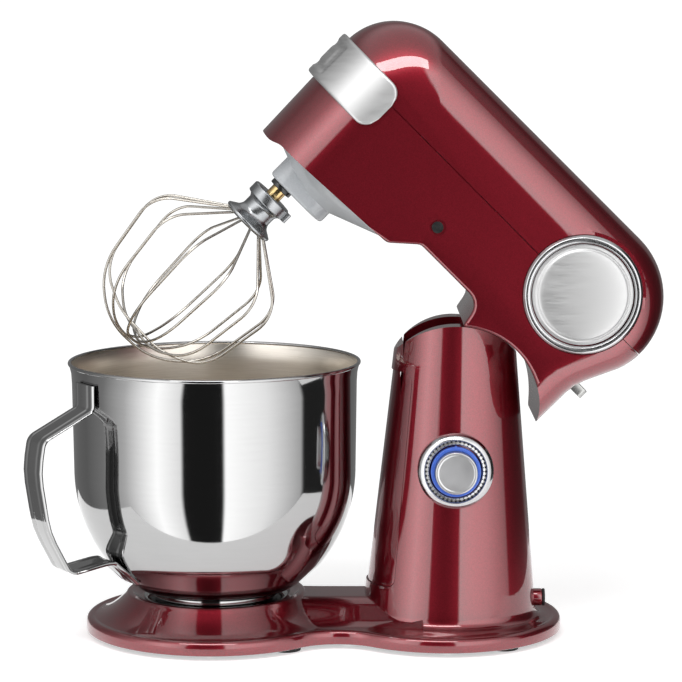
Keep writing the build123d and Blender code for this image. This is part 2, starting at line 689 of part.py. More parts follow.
def head_solid(inset):
    """The closed head's outer form, taken in by inset, where the tilted head holds it."""
    with BuildPart() as solid:
        with BuildSketch(head_side()):
            with BuildLine():
                Polyline(nose_corner, nose_tip, (nose_arc_x - nose_arc_radius, nose_arc_z))
                RadiusArc((nose_arc_x - nose_arc_radius, nose_arc_z),
                          (nose_arc_x, nose_arc_z + nose_arc_radius), nose_arc_radius)
                Line((nose_arc_x, nose_arc_z + nose_arc_radius), (tail_arc_x, tail_arc_z + tail_arc_radius))
                ThreePointArc((tail_arc_x, tail_arc_z + tail_arc_radius),
                              (tail_arc_x + tail_arc_radius * cos(radians(35)),
                               tail_arc_z + tail_arc_radius * sin(radians(35))), tail_end)
                Polyline(tail_end, (138, 255), (tail_wall_x, 245), (tail_wall_x, 219), skirt_rear)
                ThreePointArc(skirt_rear, skirt_middle, skirt_front)
                Polyline(skirt_front, (40.8, 234.4), (37, 240), (30, neck_z), (neck_start, neck_z),
                         chin_rise, chin_front, nose_corner)
            make_face()
            offset(amount=-inset, kind=Kind.INTERSECTION)
        extrude(amount=head_half_width, both=True)
        with BuildSketch(head_level(head_low)) as plan:
            with Locations((nose_plan_x, 0)):
                Ellipse(nose_plan_length - inset, head_half_width - inset)
            with Locations((nose_plan_x, 0)):
                Rectangle(head_plan_length - inset, 2 * (head_half_width - inset),
                          align=(Align.MIN, Align.CENTER))
            fillet(plan.vertices().sort_by(Axis.X)[-2:], tail_corner - inset)
        extrude(amount=2 * through, mode=Mode.INTERSECT)
        with BuildSketch(head_cross(-2 * through)) as cross:
            with Locations((0, head_low)):
                Rectangle(2 * (head_half_width - inset), head_top_z + 1 - inset - head_low,
                          align=(Align.CENTER, Align.MIN))
            fillet(cross.vertices().group_by(Axis.Y)[-1], shoulder_radius - inset)
        extrude(amount=4 * through, mode=Mode.INTERSECT)
    return solid.part


head_outside = head_solid(0)
head_inside = head_solid(head_wall)

with BuildPart() as head_upper_shell:
    add(head_outside)
    add(head_inside, mode=Mode.SUBTRACT)
    with BuildSketch(head_level(parting_z)):
        Rectangle(4 * through, 2 * through)
    extrude(amount=-2 * through, mode=Mode.SUBTRACT)
    for side in (-1, 1):
        with BuildSketch(head_side(side * (head_half_width - head_wall))):
            with Locations((cap_x, cap_z)):
                Circle(cap_ring_radius + cap_seat_rim)
            Rectangle(4 * through, 2 * parting_z, mode=Mode.SUBTRACT)
        extrude(amount=side * cap_seat_wall)
        with BuildSketch(head_side(side * cap_seat_y)):
            with Locations((cap_x, cap_z)):
                Circle(cap_ring_radius + cap_ring_gap)
        extrude(amount=-side * through, mode=Mode.SUBTRACT)
    with BuildSketch(head_cross(ahead_of_nose, shaft_z)):
        Circle(outlet_radius)
    extrude(amount=outlet_cut, mode=Mode.SUBTRACT)
    # posts that take the long screws from the neck
    with BuildSketch(head_level(parting_z)):
        with Locations(*neck_screw_places):
            Circle(post_outer)
    extrude(amount=post_height)
    with BuildSketch(head_level(parting_z)):
        with Locations(*neck_screw_places):
            Circle(screw_radius)
    extrude(amount=post_pilot, mode=Mode.SUBTRACT)
    add(head_outside, mode=Mode.INTERSECT)
head_upper_shell.part.label = "head_upper_shell"
export_step(head_upper_shell.part, "parts/head_upper_shell.step")

# ---- lower shell ----------------------------------------------------------------------------
lug_inner_y, lug_outer_y = 4.5, 21.8
lug_boss_radius = 17.0
bush_radius = 7.5
pin_x, pin_z = 118.0, 248.0
leg_hole_x, leg_hole = 82.5, (12.0, 8.0)
paddle_hole_z, paddle_hole = 246.0, (18.0, 15.0)

with BuildPart() as head_lower_shell:
    add(head_outside)
    add(head_inside, mode=Mode.SUBTRACT)
    with BuildSketch(head_level(parting_z)):
        Rectangle(4 * through, 2 * through)
    extrude(amount=2 * through, mode=Mode.SUBTRACT)
    # open chin for the planetary, outlet hole, cap seats
    with BuildSketch(head_level(head_low)):
        with Locations((bowl_x, 0)):
            Circle(chin_radius)
    extrude(amount=chin_cut, mode=Mode.SUBTRACT)
    with BuildSketch(head_cross(ahead_of_nose, shaft_z)):
        Circle(outlet_radius)
    extrude(amount=outlet_cut, mode=Mode.SUBTRACT)
    for side in (-1, 1):
        with BuildSketch(head_side(side * (head_half_width - head_wall))):
            with Locations((cap_x, cap_z)):
                Circle(cap_ring_radius + cap_seat_rim)
            with Locations((0, parting_z)):
                Rectangle(4 * through, 2 * through, align=(Align.CENTER, Align.MIN), mode=Mode.SUBTRACT)
        extrude(amount=side * cap_seat_wall)
        with BuildSketch(head_side(side * cap_seat_y)):
            with Locations((cap_x, cap_z)):
                Circle(cap_ring_radius + cap_ring_gap)
        extrude(amount=-side * through, mode=Mode.SUBTRACT)
        # hinge lug: a plate from the skirt down to the axle
        with BuildSketch(head_side(side * lug_inner_y)):
            Polygon(about_pivot(lug_boss_radius, 60), about_pivot(skirt_radius + 1.5, 97),
                    about_pivot(skirt_radius + 2, 112), about_pivot(skirt_radius + 1.5, 127),
                    about_pivot(lug_boss_radius, 165), align=None)
            with Locations((pivot_x, pivot_z)):
                Circle(lug_boss_radius)
                Circle(bush_radius, mode=Mode.SUBTRACT)
        extrude(amount=-side * (lug_outer_y - lug_inner_y))
    # bosses for the neck screws, with deep recesses from below
    with BuildSketch(head_level(neck_z)):
        with Locations(*neck_screw_places):
            Circle(neck_recess + 2)
    extrude(amount=parting_z - neck_z)
    with BuildSketch(head_level(neck_z)):
        with Locations(*neck_screw_places):
            Circle(neck_recess)
    extrude(amount=neck_screw_depth, mode=Mode.SUBTRACT)
    with BuildSketch(head_level(neck_z)):
        with Locations(*neck_screw_places):
            Circle(screw_radius)
    extrude(amount=parting_z - neck_z, mode=Mode.SUBTRACT)
    # side screw holes, slots for the lock lever's leg and paddle
    for side in (-1, 1):
        with BuildSketch(head_side(side * (head_half_width - head_wall))):
            with Locations((side_screw_x, side_screw_z)):
                Circle(side_screw_hole)
        extrude(amount=-side * head_wall, mode=Mode.SUBTRACT)
        with BuildSketch(head_side(side * (head_half_width - side_recess_depth))):
            with Locations((side_screw_x, side_screw_z)):
                Circle(side_recess)
        extrude(amount=-side * 2, mode=Mode.SUBTRACT)
    with BuildSketch(head_level(skirt_middle[1] - 8.5)):
        with Locations((leg_hole_x, 0)):
            Rectangle(*leg_hole)
    extrude(amount=20, mode=Mode.SUBTRACT)
    with BuildSketch(head_cross(tail_wall_x - 2 * head_wall, paddle_hole_z)):
        Rectangle(*paddle_hole)
    extrude(amount=4 * head_wall, mode=Mode.SUBTRACT)
head_lower_shell.part.label = "head_lower_shell"
export_step(head_lower_shell.part, "parts/head_lower_shell.step")

with BuildPart() as head_screws:
    with BuildSketch(head_level(neck_z + neck_screw_depth)):
        with Locations(*neck_screw_places):
            Circle(neck_recess - 0.6)
    extrude(amount=-2.4)
    with BuildSketch(head_level(neck_z + neck_screw_depth)):
        with Locations(*neck_screw_places):
            Circle(screw_radius)
    extrude(amount=parting_z - neck_z - 2)
    for side in (-1, 1):
        with BuildSketch(head_side(side * (head_half_width - side_recess_depth))):
            with Locations((side_screw_x, side_screw_z)):
                Circle(2.1 * side_screw_hole)
        extrude(amount=-side * 1.6)
        with BuildSketch(head_side(side * (head_half_width - side_recess_depth))):
            with Locations((side_screw_x, side_screw_z)):
                Circle(side_screw_hole)
        extrude(amount=side * 11)
head_screws.part.label = "head_screws"
export_step(head_screws.part, "parts/head_screws.step")

with BuildPart() as pivot_bushes:
    for side in (-1, 1):
        with BuildSketch(head_side(side * lug_inner_y)):
            with Locations((pivot_x, pivot_z)):
                Circle(bush_radius)
                Circle(axle_radius + running_gap, mode=Mode.SUBTRACT)
        extrude(amount=-side * (lug_outer_y - lug_inner_y))
pivot_bushes.part.label = "pivot_bushes"
export_step(pivot_bushes.part, "parts/pivot_bushes.step")

# ---- side caps ------------------------------------------------------------------------------
cap_ring_inner, cap_ring_height, cap_disc_height = 37.5, 6.0, 4.2
for side, name in ((-1, "left"), (1, "right")):
    with BuildPart() as side_cap_ring:
        with BuildSketch(head_side(side * cap_seat_y)):
            with Locations((cap_x, cap_z)):
                Circle(cap_ring_radius)
                Circle(cap_ring_inner, mode=Mode.SUBTRACT)
        extrude(amount=-side * cap_ring_height)
        chamfer(side_cap_ring.edges().group_by(Axis.Y)[0 if side < 0 else -1], 1.2)
    side_cap_ring.part.label = "side_cap_ring_" + name
    export_step(side_cap_ring.part, "parts/side_cap_ring_" + name + ".step")

    with BuildPart() as side_cap:
        with BuildSketch(head_side()):
            with Locations((cap_x, cap_z)):
                Circle(cap_disc_radius)
        extrude(amount=-side * (cap_seat_y + cap_disc_height))
        with BuildSketch(head_side()):
            with Locations((cap_x, cap_z)):
                Circle(cap_disc_radius + 1)
        extrude(amount=-side * cap_seat_y, mode=Mode.SUBTRACT)
        fillet(side_cap.edges().group_by(Axis.Y)[0 if side < 0 else -1], 1.0)
    side_cap.part.label = "side_cap_" + name
    export_step(side_cap.part, "parts/side_cap_" + name + ".step")

# ---- front outlet and its cover -------------------------------------------------------------
outlet_wall = 2.7
outlet_front_x, outlet_back_x = -157.6, -143.0
flange_rim, flange_thickness, flange_hole = 3.0, 2.5, 7.0
cover_outer, cover_inner, cover_corner = (60.2, 62.6), (55.6, 60.4), 12.0   # half length, half width
panel_edge, panel_half_width, panel_depth = 7.0, 31.0, 0.8
with BuildPart() as outlet_port:
    with BuildSketch(head_cross(outlet_front_x, shaft_z)):
        Circle(outlet_radius - part_gap)
        Circle(outlet_radius - outlet_wall, mode=Mode.SUBTRACT)
    extrude(amount=outlet_back_x - outlet_front_x)
    with BuildSketch(head_cross(outlet_back_x, shaft_z)):
        Circle(outlet_radius + flange_rim)
        Circle(flange_hole, mode=Mode.SUBTRACT)
    extrude(amount=-flange_thickness)
outlet_port.part.label = "outlet_port"
export_step(outlet_port.part, "parts/outlet_port.step")

with BuildPart() as port_cover:
    with BuildSketch(head_level(cover_low)):
        with Locations((nose_plan_x, 0)):
            Ellipse(*cover_outer)
            Ellipse(*cover_inner, mode=Mode.SUBTRACT)
    extrude(amount=cover_high - cover_low)
    with BuildSketch(head_side()) as cover_side:
        with Locations((cover_back, (cover_low + cover_high) / 2)):
            Rectangle(through, cover_high - cover_low, align=(Align.MAX, Align.CENTER))
        fillet(cover_side.vertices().sort_by(Axis.X)[-2:], cover_corner)
    extrude(amount=through, both=True, mode=Mode.INTERSECT)
    # pressed panel across the front
    with BuildSketch(head_level(cover_low + panel_edge)):
        with Locations((nose_plan_x, 0)):
            Ellipse(cover_outer[0] + panel_depth, cover_outer[1] + panel_depth)
            Ellipse(cover_outer[0] - panel_depth, cover_outer[1] - panel_depth, mode=Mode.SUBTRACT)
        with Locations((nose_plan_x - cover_outer[0], 0)):
            Rectangle(cover_outer[0], 2 * panel_half_width, mode=Mode.INTERSECT)
    extrude(amount=cover_high - cover_low - 2 * panel_edge, mode=Mode.SUBTRACT)
port_cover.part.label = "port_cover"
export_step(port_cover.part, "parts/port_cover.step")

# ---- gearbox --------------------------------------------------------------------------------
drum_radius, drum_low, drum_top = 44.0, 232.0, 262.0
ring_gear_radius, ring_gear_height = 40.0, 10.0
shaft_radius, layshaft_radius, motor_shaft_radius = 6.0, 5.0, 3.0
bearing_outer, layshaft_bearing_outer = 12.0, 11.0
pedestal_half_width = 14.0
front_pedestal_x, rear_pedestal_x = -142.0, -54.0
pedestal_length = 10.0
bar_length, bar_low, bar_high = 13.0, 256.0, 267.0      # bar that the side screws hold
deck_thickness, deck_rim = 5.0, 4.0
drum_floor = 5.0                    # wall left round and under the drum's hollow
drum_hollow_height = 14.0
bearing_height, layshaft_bearing_length = 7.0, 8.0
ring_gear_teeth, planet_teeth = 60, 20

with BuildPart() as gearbox_housing:
    with BuildSketch(head_level(drum_low)):
        with Locations((bowl_x, 0)):
            Circle(drum_radius)
    extrude(amount=drum_top - drum_low)
    # plate that carries the pedestals, and the bar across the head
    with BuildSketch(head_level(drum_top - deck_thickness)):
        with Locations(((front_pedestal_x + side_screw_x) / 2, 0)):
            Rectangle(side_screw_x - front_pedestal_x, 2 * (pedestal_half_width + deck_rim))
    extrude(amount=deck_thickness)
    with BuildSketch(head_level(bar_low)):
        with Locations((side_screw_x, 0)):
            Rectangle(bar_length, 2 * (head_half_width - head_wall))
    extrude(amount=bar_high - bar_low)
    for from_x in (front_pedestal_x, rear_pedestal_x):
        with BuildSketch(head_cross(from_x)):
            with Locations((0, (drum_top + shaft_z) / 2)):
                Rectangle(2 * pedestal_half_width, shaft_z - drum_top)
            with Locations((0, shaft_z)):
                Circle(pedestal_half_width)
                Circle(layshaft_bearing_outer, mode=Mode.SUBTRACT)
        extrude(amount=pedestal_length)
    for side in (-1, 1):
        with BuildSketch(head_side(side * (head_half_width - head_wall))):
            with Locations((side_screw_x, side_screw_z)):
                Circle(side_screw_hole)
        extrude(amount=side * neck_screw_depth, mode=Mode.SUBTRACT)
    # ring gear seat, hollow drum and the two bearing seats
    with BuildSketch(head_level(drum_low)):
        with Locations((bowl_x, 0)):
            Circle(ring_gear_radius)
    extrude(amount=ring_gear_height, mode=Mode.SUBTRACT)
    with BuildSketch(head_level(drum_low + ring_gear_height)):
        with Locations((bowl_x, 0)):
            Circle(ring_gear_radius - drum_floor)
            Circle(bearing_outer + deck_rim, mode=Mode.SUBTRACT)
    extrude(amount=drum_hollow_height, mode=Mode.SUBTRACT)
    with BuildSketch(head_level(drum_low)):
        with Locations((bowl_x, 0)):
            Circle(bearing_outer)
    extrude(amount=through, mode=Mode.SUBTRACT)
gearbox_housing.part.label = "gearbox_housing"
export_step(gearbox_housing.part, "parts/gearbox_housing.step")

with BuildPart() as ring_gear:
    with BuildSketch(head_level(drum_low, bowl_x)):
        Circle(ring_gear_radius)
        Polygon(gear_outline(ring_gear_teeth, 32.75, 35.1, 0.64, 0.34, 180), align=None,
                mode=Mode.SUBTRACT)
    extrude(amount=ring_gear_height)
ring_gear.part.label = "ring_gear"
export_step(ring_gear.part, "parts/ring_gear.step")

with BuildPart() as main_bearings:
    for height in (drum_low + ring_gear_height + 0.5, drum_top - 7.5):
        with BuildSketch(head_level(height, bowl_x)):
            Circle(bearing_outer)
            Circle(shaft_radius + running_gap, mode=Mode.SUBTRACT)
        extrude(amount=bearing_height)
main_bearings.part.label = "main_bearings"
export_step(main_bearings.part, "parts/main_bearings.step")

with BuildPart() as layshaft_bearings:
    for from_x in (front_pedestal_x + 1, rear_pedestal_x + 1):
        with BuildSketch(head_cross(from_x, shaft_z)):
            Circle(layshaft_bearing_outer)
            Circle(layshaft_radius + running_gap, mode=Mode.SUBTRACT)
        extrude(amount=layshaft_bearing_length)
layshaft_bearings.part.label = "layshaft_bearings"
export_step(layshaft_bearings.part, "parts/layshaft_bearings.step")

# ---- motor and belt -------------------------------------------------------------------------
can_radius, can_front, can_back, can_wall = 30.0, 12.0, 100.0, 1.6
hub_radius, hub_length = 8.0, 8.0
slot_circle, slot_count, slot_size = 18.0, 8, (12.0, 4.0)
mount_from, mount_length, mount_rim = 32.0, 10.0, 3.0
mount_low, mount_window = -80.0, 32.0   # below the motor's axis
armature_x, armature_length, armature_radius = 32.0, 36.0, 19.0
pole_count, pole_slot, pole_circle = 12, (5.0, 2.4), 17.5
commutator_x, commutator_length, commutator_radius = 72.0, 14.0, 8.0
segment_count, segment_slot = 12, (1.6, 0.6)
brush_x, brush_size, brush_from, brush_length = 79.0, (8.0, 6.0), 9.0, 18.0
fan_x, fan_radius, fan_length, fan_plate = 20.0, 25.0, 9.0, 1.6
fan_hub, blade_circle, blade_count, blade_size = 7.0, 15.5, 9, (18.0, 1.2)
magnet_x, magnet_length, magnet_inner, magnet_gap = 34.0, 32.0, 20.5, (16.0, 80.0)
belt_thickness, belt_clearance = 1.6, 0.2
belt_x, belt_width = 2.0, 7.0
small_pulley_radius, large_pulley_radius = 5.8, 29.0

with BuildPart() as motor_can:
    with BuildSketch(head_cross(can_front, motor_z)):
        Circle(can_radius)
    extrude(amount=can_back - can_front)
    with BuildSketch(head_cross(can_front + can_wall, motor_z)):
        Circle(can_radius - can_wall)
    extrude(amount=can_back - can_front - 2 * can_wall, mode=Mode.SUBTRACT)
    for from_x in (can_front, can_back - hub_length):
        with BuildSketch(head_cross(from_x, motor_z)):
            Circle(hub_radius)
        extrude(amount=hub_length)
    with BuildSketch(head_cross(can_front, motor_z)):
        Circle(motor_shaft_radius + running_gap)
    extrude(amount=can_back - can_front, mode=Mode.SUBTRACT)
    # cooling slots in both end plates
    for from_x in (can_front, can_back - can_wall):
        with BuildSketch(head_cross(from_x, motor_z)):
            with PolarLocations(slot_circle, slot_count, start_angle=22.5):
                SlotOverall(*slot_size)
        extrude(amount=can_wall, mode=Mode.SUBTRACT)
motor_can.part.label = "motor_can"
export_step(motor_can.part, "parts/motor_can.step")

with BuildPart() as motor_mount:
    with BuildSketch(head_cross(mount_from, motor_z)):
        Circle(can_radius + mount_rim)
        with Locations((0, mount_low)):
            Rectangle(2 * can_radius, -mount_low - 20, align=(Align.CENTER, Align.MIN))
        with Locations((0, mount_low + 12)):
            Rectangle(2 * can_radius - 16, mount_window, align=(Align.CENTER, Align.MIN),
                      mode=Mode.SUBTRACT)
        Circle(can_radius, mode=Mode.SUBTRACT)
    extrude(amount=mount_length)
    add(head_inside, mode=Mode.INTERSECT)
motor_mount.part.label = "motor_mount"
export_step(motor_mount.part, "parts/motor_mount.step")

with BuildPart() as motor_shaft:
    with BuildSketch(head_cross(belt_x - 6, motor_z)):
        Circle(motor_shaft_radius)
    extrude(amount=can_back - belt_x + 10)
motor_shaft.part.label = "motor_shaft"
export_step(motor_shaft.part, "parts/motor_shaft.step")

with BuildPart() as armature:
    with BuildSketch(head_cross(armature_x, motor_z)):
        Circle(armature_radius)
        with PolarLocations(pole_circle, pole_count):
            Rectangle(*pole_slot, mode=Mode.SUBTRACT)
        Circle(motor_shaft_radius, mode=Mode.SUBTRACT)
    extrude(amount=armature_length)
armature.part.label = "armature"
export_step(armature.part, "parts/armature.step")

with BuildPart() as commutator:
    with BuildSketch(head_cross(commutator_x, motor_z)):
        Circle(commutator_radius)
        with PolarLocations(commutator_radius, segment_count):
            Rectangle(*segment_slot, mode=Mode.SUBTRACT)
        Circle(motor_shaft_radius, mode=Mode.SUBTRACT)
    extrude(amount=commutator_length)
commutator.part.label = "commutator"
export_step(commutator.part, "parts/commutator.step")

with BuildPart() as brush_holders:
    for side in (-1, 1):
        with BuildSketch(head_side(side * brush_from)):
            with Locations((brush_x, motor_z)):
                Rectangle(*brush_size)
        extrude(amount=-side * brush_length)
brush_holders.part.label = "brush_holders"
export_step(brush_holders.part, "parts/brush_holders.step")

with BuildPart() as cooling_fan:
    with BuildSketch(head_cross(fan_x, motor_z)):
        Circle(fan_hub)
        Circle(motor_shaft_radius, mode=Mode.SUBTRACT)
    extrude(amount=fan_length)
    with BuildSketch(head_cross(fan_x + fan_length - fan_plate, motor_z)):
        Circle(fan_radius)
        Circle(motor_shaft_radius, mode=Mode.SUBTRACT)
    extrude(amount=fan_plate)
    with BuildSketch(head_cross(fan_x, motor_z)):
        with PolarLocations(blade_circle, blade_count):
            Rectangle(*blade_size)
    extrude(amount=fan_length - fan_plate / 2)
cooling_fan.part.label = "cooling_fan"
export_step(cooling_fan.part, "parts/cooling_fan.step")

with BuildPart() as field_magnets:
    with BuildSketch(head_cross(magnet_x, motor_z)):
        Circle(can_radius - can_wall)
        Circle(magnet_inner, mode=Mode.SUBTRACT)
        Rectangle(*magnet_gap, mode=Mode.SUBTRACT)
    extrude(amount=magnet_length)
field_magnets.part.label = "field_magnets"
export_step(field_magnets.part, "parts/field_magnets.step")

with BuildPart() as motor_pulley:
    with BuildSketch(head_cross(belt_x - belt_width / 2, motor_z)):
        Circle(small_pulley_radius)
        Circle(motor_shaft_radius, mode=Mode.SUBTRACT)
    extrude(amount=belt_width)
motor_pulley.part.label = "motor_pulley"
export_step(motor_pulley.part, "parts/motor_pulley.step")

with BuildPart() as drive_belt:
    with BuildSketch(head_cross(belt_x - belt_width / 2 + 0.5)):
        with Locations((0, motor_z)):
            Circle(small_pulley_radius + belt_clearance)
        with Locations((0, shaft_z)):
            Circle(large_pulley_radius + belt_clearance)
        make_hull()
        offset(amount=belt_thickness)
        with BuildSketch(mode=Mode.SUBTRACT):
            with Locations((0, motor_z)):
                Circle(small_pulley_radius + belt_clearance)
            with Locations((0, shaft_z)):
                Circle(large_pulley_radius + belt_clearance)
            make_hull()
    extrude(amount=belt_width - 1)
drive_belt.part.label = "drive_belt"
export_step(drive_belt.part, "parts/drive_belt.step")

# ---- layshaft -------------------------------------------------------------------------------
layshaft_front, layshaft_back = -146.0, 10.0
pinion_far, pinion_near = 32.0, 24.0    # distances of the bevel teeth from the apex
pinion_teeth, bevel_gear_teeth = 20, 40
pinion_root, pinion_tip = 13.9, 17.7    # tooth radii at the large end
bevel_gear_root, bevel_gear_tip = 28.0, 35.6
pinion_hub, pinion_hub_length = 10.0, 6.0
spoke_circle, spoke_hole, spoke_count = 17.0, 5.5, 6
socket_radius, socket_length, socket_square = 8.0, 5.0, 8.0
with BuildPart() as layshaft:
    with BuildSketch(head_cross(layshaft_front, shaft_z)):
        Circle(layshaft_radius)
    extrude(amount=layshaft_back - layshaft_front)
layshaft.part.label = "layshaft"
export_step(layshaft.part, "parts/layshaft.step")

with BuildPart() as large_pulley:
    with BuildSketch(head_cross(belt_x - belt_width / 2, shaft_z)):
        Circle(large_pulley_radius)
        Circle(layshaft_radius, mode=Mode.SUBTRACT)
        with PolarLocations(spoke_circle, spoke_count):
            Circle(spoke_hole, mode=Mode.SUBTRACT)
    extrude(amount=belt_width)
large_pulley.part.label = "large_pulley"
export_step(large_pulley.part, "parts/large_pulley.step")

with BuildPart() as bevel_pinion:
    for distance in (pinion_far, pinion_near):
        size = distance / pinion_far
        with BuildSketch(head_cross(bowl_x + distance, shaft_z)):
            Polygon(gear_outline(pinion_teeth, pinion_root * size, pinion_tip * size, 0.6, 0.2, 270),
                    align=None)
    loft(ruled=True)
    with BuildSketch(head_cross(bowl_x + pinion_far, shaft_z)):
        Circle(pinion_hub)
    extrude(amount=pinion_hub_length)
    with BuildSketch(head_cross(bowl_x, shaft_z)):
        Circle(layshaft_radius)
    extrude(amount=through, mode=Mode.SUBTRACT)
bevel_pinion.part.label = "bevel_pinion"
export_step(bevel_pinion.part, "parts/bevel_pinion.step")

with BuildPart() as outlet_drive_socket:
    with BuildSketch(head_cross(layshaft_front - socket_length, shaft_z)):
        Circle(socket_radius)
        Rectangle(socket_square, socket_square, mode=Mode.SUBTRACT)
    extrude(amount=socket_length)
outlet_drive_socket.part.label = "outlet_drive_socket"
export_step(outlet_drive_socket.part, "parts/outlet_drive_socket.step")

# ---- planetary carrier ----------------------------------------------------------------------
shaft_low_z, shaft_high_z = 205.0, 273.0
gear_rim, gear_web, gear_hub = 33.0, 25.0, 9.0
dish_wall, dish_lip = 3.0, 5.0
dish_floor, dish_flat = 209.5, 15.0
block_radius, block_nose_radius = 16.0, 13.0
with BuildPart() as main_shaft:
    with BuildSketch(head_level(shaft_low_z, bowl_x)):
        Circle(shaft_radius)
    extrude(amount=shaft_high_z - shaft_low_z)
main_shaft.part.label = "main_shaft"
export_step(main_shaft.part, "parts/main_shaft.step")

with BuildPart() as bevel_gear:
    for rise in (pinion_far / 2, pinion_near / 2):
        size = 2 * rise / pinion_far
        with BuildSketch(head_level(shaft_z - rise, bowl_x)):
            Polygon(gear_outline(bevel_gear_teeth, bevel_gear_root * size, bevel_gear_tip * size,
                                 0.56, 0.2, 4.5), align=None)
    loft(ruled=True)
    with BuildSketch(head_level(drum_top + 2, bowl_x)):
        Circle(gear_rim)
    extrude(amount=20, mode=Mode.INTERSECT)
    with BuildSketch(head_level(drum_top + 4, bowl_x)):
        Circle(gear_web)
    extrude(amount=5.2)
    with BuildSketch(head_level(drum_top + 1, bowl_x)):
        Circle(gear_hub)
    extrude(amount=4)
    with BuildSketch(head_level(drum_low, bowl_x)):
        Circle(shaft_radius)
    extrude(amount=through, mode=Mode.SUBTRACT)
bevel_gear.part.label = "bevel_gear"
export_step(bevel_gear.part, "parts/bevel_gear.step")

with BuildPart() as planet_carrier:
    with BuildSketch(head_side()):
        Polygon((bowl_x, dish_floor), (bowl_x - dish_flat, dish_floor), (bowl_x - dish_radius, dish_rim_z),
                (bowl_x - dish_radius, dish_rim_z + dish_lip),
                (bowl_x - dish_radius + dish_wall, dish_rim_z + dish_lip),
                (bowl_x - dish_radius + dish_wall, dish_rim_z + 2),
                (bowl_x - dish_flat + 1, dish_floor + dish_wall), (bowl_x, dish_floor + dish_wall),
                align=None)
    revolve(axis=upright_axis(bowl_x))
    with BuildSketch(head_level(block_low_z)):
        with Locations((bowl_x, 0)):
            Circle(block_radius)
        with Locations((beater_x, 0)):
            Circle(block_nose_radius)
        make_hull()
    extrude(amount=dish_rim_z + 3 - block_low_z)
    with BuildSketch(head_level(block_low_z)):
        with Locations((beater_x, 0)):
            Circle(shaft_radius + running_gap)
    extrude(amount=through, mode=Mode.SUBTRACT)
    with BuildSketch(head_level(shaft_low_z, bowl_x)):
        Circle(shaft_radius)
    extrude(amount=through, mode=Mode.SUBTRACT)
planet_carrier.part.label = "planet_carrier"
export_step(planet_carrier.part, "parts/planet_carrier.step")

# ---- beater shaft ---------------------------------------------------------------------------
beater_shaft_low, beater_shaft_high = 171.0, 241.5
pin_z_rest, pin_radius, pin_half_length = 184.5, 1.5, 9.5
collar_radius, collar_height = 9.0, 3.5
with BuildPart() as beater_shaft:
    with BuildSketch(head_level(beater_shaft_low, beater_x)):
        Circle(shaft_radius)
    extrude(amount=beater_shaft_high - beater_shaft_low)
    with BuildSketch(head_side()):
        with Locations((beater_x, pin_z_rest)):
            Circle(pin_radius)
    extrude(amount=20, both=True, mode=Mode.SUBTRACT)
beater_shaft.part.label = "beater_shaft"
export_step(beater_shaft.part, "parts/beater_shaft.step")

with BuildPart() as beater_pin:
    with BuildSketch(head_side()):
        with Locations((beater_x, pin_z_rest)):
            Circle(pin_radius)
    extrude(amount=pin_half_length, both=True)
beater_pin.part.label = "beater_pin"
export_step(beater_pin.part, "parts/beater_pin.step")

with BuildPart() as beater_collar:
    with BuildSketch(head_level(block_low_z - part_gap - collar_height, beater_x)):
        Circle(collar_radius)
        Circle(shaft_radius, mode=Mode.SUBTRACT)
    extrude(amount=collar_height)
beater_collar.part.label = "beater_collar"
export_step(beater_collar.part, "parts/beater_collar.step")

with BuildPart() as planet_gear:
    with BuildSketch(head_level(drum_low + 1, beater_x)):
        Polygon(gear_outline(planet_teeth, 9.95, 12.1, 0.6, 0.22, 180), align=None)
        Circle(shaft_radius, mode=Mode.SUBTRACT)
    extrude(amount=8)
planet_gear.part.label = "planet_gear"
export_step(planet_gear.part, "parts/planet_gear.step")

# ---- whisk ----------------------------------------------------------------------------------
hub_low, flange_top, neck_top, hub_top = 161.0, 165.0, 180.0, 189.3
release_travel = 5.0
loop_count, first_loop_angle, tip_stagger = 6, 15.0, 2.2
wire_start_u, wire_start_z = 15.5, 163.0
tip_low_z = 36.6
loop_shape = [(66.0, 126.0), (58.0, 64.0)]      # corners of the half loop between start and tip
tip_u = 24.0
loop_bends = [50, 44, 54]

with BuildPart() as whisk_wires:
    for k in range(loop_count):
        turn = radians(first_loop_angle + k * 180 / loop_count)
        loop_plane = in_head(Plane(origin=(beater_x, 0, 0), x_dir=(cos(turn), sin(turn), 0),
                                   z_dir=(sin(turn), -cos(turn), 0)))
        tip_z = tip_low_z + tip_stagger * k
        half = [(wire_start_u, wire_start_z), *loop_shape, (tip_u, tip_z)]
        other_half = [(-u, v) for u, v in reversed(half)]
        with BuildLine(loop_plane) as loop_line:
            FilletPolyline(*half, *other_half, radius=loop_bends + loop_bends[::-1])
        with BuildSketch(Plane(origin=loop_line.line @ 0, z_dir=loop_line.line % 0)):
            Circle(wire_radius)
        sweep(path=loop_line.line)
whisk_wires.part.label = "whisk_wires"
export_step(whisk_wires.part, "parts/whisk_wires.step")

